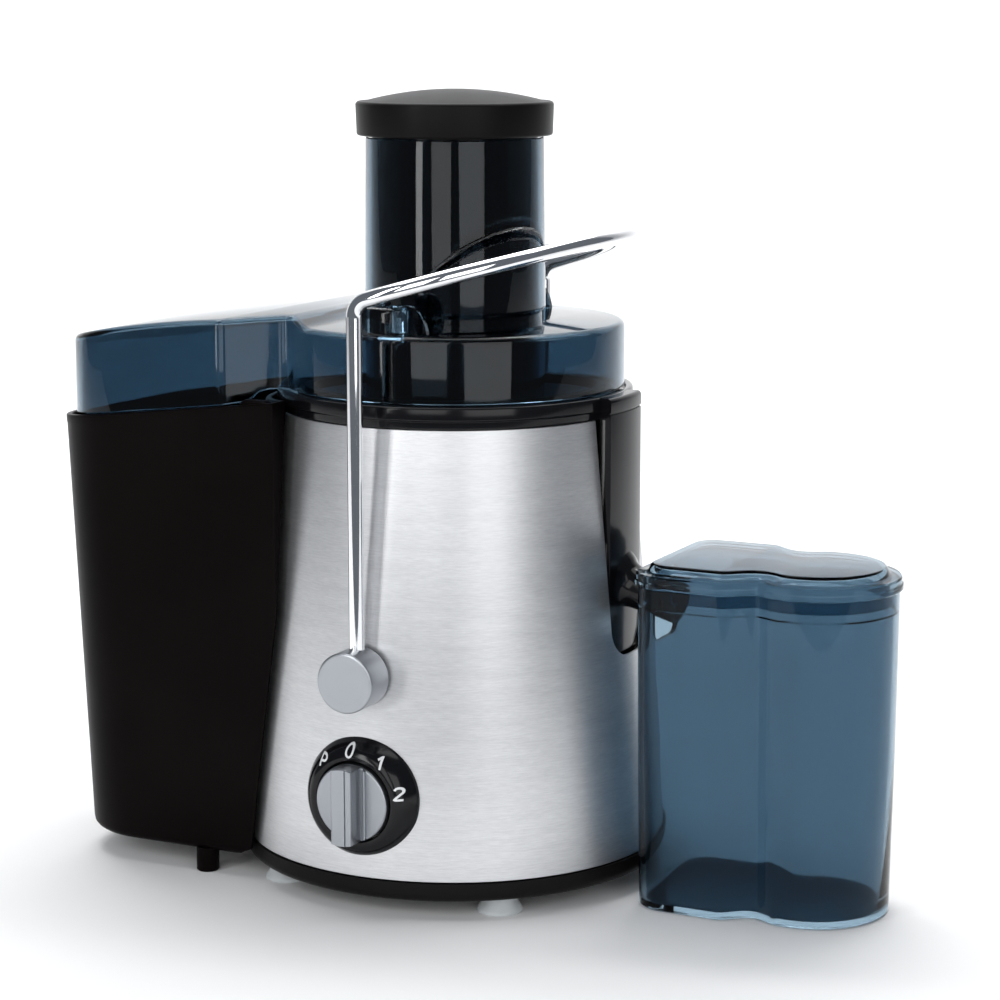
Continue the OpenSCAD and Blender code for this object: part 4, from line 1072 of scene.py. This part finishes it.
def build_marks():
    """P 0 1 2 round the knob, printed as thin raised strokes on the dome."""
    glyphs = {
        "P": [[(-1.1, -1.9), (-1.1, 1.9), (0.3, 1.9)] + circle_points(0.3, 0.9, 1.05, 1.0, 90, -90, 8)
              + [(-1.1, -0.1)]],
        "0": [circle_points(0, 0, 1.25, 2.0, 0, 360, 22)],
        "1": [[(-0.9, 1.1), (0.2, 1.9), (0.2, -1.9)]],
        "2": [circle_points(0, 0.9, 1.2, 1.05, 165, -35, 10) + [(-1.25, -1.9), (1.35, -1.9)]],
    }
    for name, turn in (("P", -42), ("0", -5), ("1", 35), ("2", 75)):
        a = math.radians(turn)
        bm = bmesh.new()
        middle = Vector((MARK_RING_R * math.sin(a), 0, KNOB_Z + MARK_RING_R * math.cos(a)))
        for line in glyphs[name]:
            fine = [(x0 + (x1 - x0) * k / 8, z0 + (z1 - z0) * k / 8)
                    for (x0, z0), (x1, z1) in zip(line, line[1:]) for k in range(8)] + [line[-1]]
            add_tube(bm, [middle + Vector((x, 0, z)) * 1.35 for x, z in fine], 0.50, 10)
        for v in bm.verts:
            v.co.y = -bezel_y(math.hypot(v.co.x, v.co.z - KNOB_Z)) - 0.12 + v.co.y * 0.25
        finish_mesh("mark_" + name, bm, "root", PRINT_WHITE)


# ---------------------------------------------------------------- jug

def jug_outline():
    """Half plan of the jug from the body's side, over the waist, round its outer end."""
    near, w = JUG_LOW.x, JUG_HIGH.y
    lobe_r = 36
    lobe_x = JUG_HIGH.x - lobe_r
    first = rounded([(near, 0), (near, w), (near + 42, w)], [0, 16, 0], 10)
    waist = (near + 57, 31.2)
    angle = 101
    meet = (lobe_x + lobe_r * math.cos(math.radians(angle)), lobe_r * math.sin(math.radians(angle)))
    along = (math.sin(math.radians(angle)), -math.cos(math.radians(angle)))
    line = densify(first, 4)
    line += hermite((near + 42, w), (17, 0), waist, (11, -0.3), 12)
    line += hermite(waist, (8, 0), meet, (along[0] * 10, along[1] * 10), 9)
    line += arc((lobe_x, 0), lobe_r, angle, 0, 34)[1:]
    return line


def build_jug():
    """Clear jug with a rolled foot, a stepped rim and a port for the spout; and its lid."""
    base = jug_outline()
    top = JUG_HIGH.z

    def ring(d, z):
        return [Vector((p.x, p.y, z)) for p in mirrored(inset(base, d))]

    wall = 2.3
    foot = 1.6
    foot_r = 2.4
    levels = [ring(wall + 3.5, 3.0), ring(wall + foot + 0.9, 3.3), ring(wall + foot, 5.0),
              ring(wall + 0.5, top * 0.5), ring(wall, top - 10), ring(wall - 0.9, top - 9),
              ring(wall - 0.9, top - 0.4), ring(wall - 1.3, top), ring(0.4, top), ring(0.0, top - 0.5),
              ring(0.0, top - 11), ring(0.5, top * 0.5), ring(foot, 4.0)]
    for degrees in (30, 60, 90):
        t = math.radians(degrees)
        levels.append(ring(foot + foot_r - foot_r * math.cos(t), foot_r - foot_r * math.sin(t) + 0.001))
    bm = bmesh.new()
    add_loft(bm, levels)
    jug = finish_mesh("jug_shell", bm, None, SMOKE_JUG)
    bm = bmesh.new()
    w, port_z, above = 14, top - 30, top + 20
    outline = rounded([(-w, above), (-w, port_z), (w, port_z), (w, above)], [0, 6, 6, 0], 8)
    add_prism(bm, [[Vector((x, p.x, p.y)) for p in outline] for x in (90, JUG_LOW.x + 9)])
    cut_with(jug, [helper("port", bm)])
    smooth(jug.data, 35)
    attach(jug, "jug")
    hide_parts("jug")

    # Lid: a flange with two steps, a raised plate with a soft edge, and a skirt that starts beyond the spout
    low, high = JUG_LID_LOW.z, JUG_LID_HIGH.z
    flange_low = top + 0.2
    flange_top = high - 4
    plate = 5
    profile = [(wall + 1.9, flange_top - 1.6), (wall + 1.9, low), (wall + 0.4, low),
               (wall + 0.4, flange_low), (-1.1, flange_low), (-1.5, flange_low + 0.4),
               (-1.5, flange_low + 2.4), (-0.9, flange_low + 2.9), (-0.9, flange_top - 0.8),
               (-0.3, flange_top), (plate - 1.6, flange_top), (plate - 0.6, flange_top + 0.4),
               (plate + 0.6, high - 0.9), (plate + 1.5, high - 0.1), (plate + 2.6, high)]
    inner = [(plate + 4.5, high - 2.3), (plate + 3, high - 2.5)]
    bm = bmesh.new()
    rings = [ring(d, z) for d, z in inner + [(wall + 2.6, flange_top - 1.2)] + profile]
    add_loft(bm, rings)
    jug_lid = finish_mesh("jug_cover", bm, None, SMOKE_JUG)
    bm = bmesh.new()
    add_box(bm, (80, -60, low - 5), (JUG_LOW.x + 20, 60, flange_low))
    cut_with(jug_lid, [helper("room", bm)])
    smooth(jug_lid.data, 35)
    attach(jug_lid, "jug_lid")
    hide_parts("jug_lid")


# ---------------------------------------------------------------- the CAD nodes that stay

def dress(material, *names):
    """Gives CAD nodes that stay as they are a material."""
    for name in names:
        o = frame["nodes"][name]
        o.data.materials.clear()
        o.data.materials.append(material)
        o.data.shade_smooth()
        o.data.set_sharp_from_angle(angle=math.radians(30))


def dress_nodes():
    """Materials of the pieces inside, and of those whose CAD shape is kept."""
    dress(BLACK_SATIN, "base_tray", "basket_base", "basket_rim")
    dress(BLACK_GLOSS, "body_shell")
    dress(INNER_PLASTIC, "deck", "rotary_switch", "safety_switch", "cooling_fan")
    dress(DARK_RUBBER, "shaft_seal", "motor_mounts", "lid_seal", "cord_inlet")
    dress(CAST, "motor_upper_bracket", "motor_lower_bracket")
    dress(BRIGHT_STEEL, "upper_bearing", "lower_bearing", "motor_screws", "base_screws", "rotor_shaft",
          "grater_disc", "pivot_pins", "switch_shaft")
    dress(LAMINATED, "stator_stack", "armature")
    dress(WOUND, "field_coils", "commutator", "brush_holders")
    dress(CARBON, "carbon_brushes")
    dress(NYLON, "drive_coupling")
    dress(SIEVE, "sieve_wall")


# ---------------------------------------------------------------- stage

def area_light(name, place, target, width, height, power, color=(1, 1, 1)):
    light = bpy.data.lights.new(name, "AREA")
    light.shape = "RECTANGLE"
    light.size = width
    light.size_y = height
    light.energy = power
    light.color = color
    o = bpy.data.objects.new(name, light)
    o.location = place
    o.rotation_euler = (Vector(target) - Vector(place)).to_track_quat("-Z", "Y").to_euler()
    bpy.context.scene.collection.objects.link(o)


def build_stage():
    """Pale floor that sweeps up behind, soft lights, and the camera at the photographed angle."""
    n = Nodes("pale_floor")
    stops = [(0.3, (0.90, 0.90, 0.90)), (0.7, (0.92, 0.92, 0.92))]
    n.use(n.ramp(n.noise(n.position(), 3.0), stops), "Base Color")
    n.set(Roughness=0.7, Specular_IOR_Level=0.2)
    # The sweep runs along the camera's view and rises behind the object
    turn = math.radians(26)
    ahead = Vector((-math.sin(turn), math.cos(turn), 0))
    side = Vector((math.cos(turn), math.sin(turn), 0))
    bend_r, start = 0.9, 0.75
    run = [(-0.62, 0), (start, 0)]
    run += [(start + bend_r * math.sin(a), bend_r - bend_r * math.cos(a)) for a in
            (math.pi / 2 * k / 16 for k in range(1, 17))]
    run += [(start + bend_r, 3.4)]
    bm = bmesh.new()
    add_grid(bm, [[ahead * d + side * w + Vector((0, 0, z)) for w in (-3.2, -1, 1, 3.2)] for d, z in run],
             closed_columns=False)
    mesh = bpy.data.meshes.new("floor")
    bm.to_mesh(mesh)
    bm.free()
    mesh.shade_smooth()
    floor = bpy.data.objects.new("floor", mesh)
    floor.data.materials.append(n.material)
    bpy.context.scene.collection.objects.link(floor)

    world = bpy.data.worlds.new("studio")
    world.use_nodes = True
    world.node_tree.nodes["Background"].inputs[0].default_value = (0.80, 0.88, 1.0, 1)
    world.node_tree.nodes["Background"].inputs[1].default_value = 0.16
    bpy.context.scene.world = world

    area_light("overhead", (-0.1, 0.5, 2.0), (0, 0.3, 0), 2.4, 1.8, 27)
    area_light("key_left", (-0.62, -1.75, 0.8), (0, 0, 0.15), 0.30, 1.5, 10)
    area_light("front_middle", (0.30, -1.85, 0.75), (0, 0, 0.15), 0.85, 1.4, 8)
    area_light("front_wide", (1.38, -1.25, 0.60), (0, 0, 0.15), 1.1, 1.3, 9)
    area_light("backdrop", (-0.5, 0.9, 2.6), (-0.7, 1.6, 0.6), 2.6, 0.6, 42)

    camera = bpy.data.cameras.new("camera")
    camera.lens = 100.7
    camera.sensor_width = 36
    camera.clip_end = 60
    o = bpy.data.objects.new("camera", camera)
    o.location = AXIS + Vector((0.580, -1.1423, 0.397))
    o.rotation_euler = (math.radians(80), 0, math.radians(26))
    bpy.context.scene.collection.objects.link(o)
    bpy.context.scene.camera = o
    bpy.context.scene.view_settings.view_transform = "Standard"


for clutter in [o for o in bpy.data.objects if o.name in ("Cube", "Light", "Camera")]:
    bpy.data.objects.remove(clutter)
dress_nodes()
build_skin()
build_base()
build_feet()
build_collector()
build_spout()
build_lid()
build_pusher()
build_bin()
build_arm()
build_dial()
build_marks()
build_jug()
build_stage()
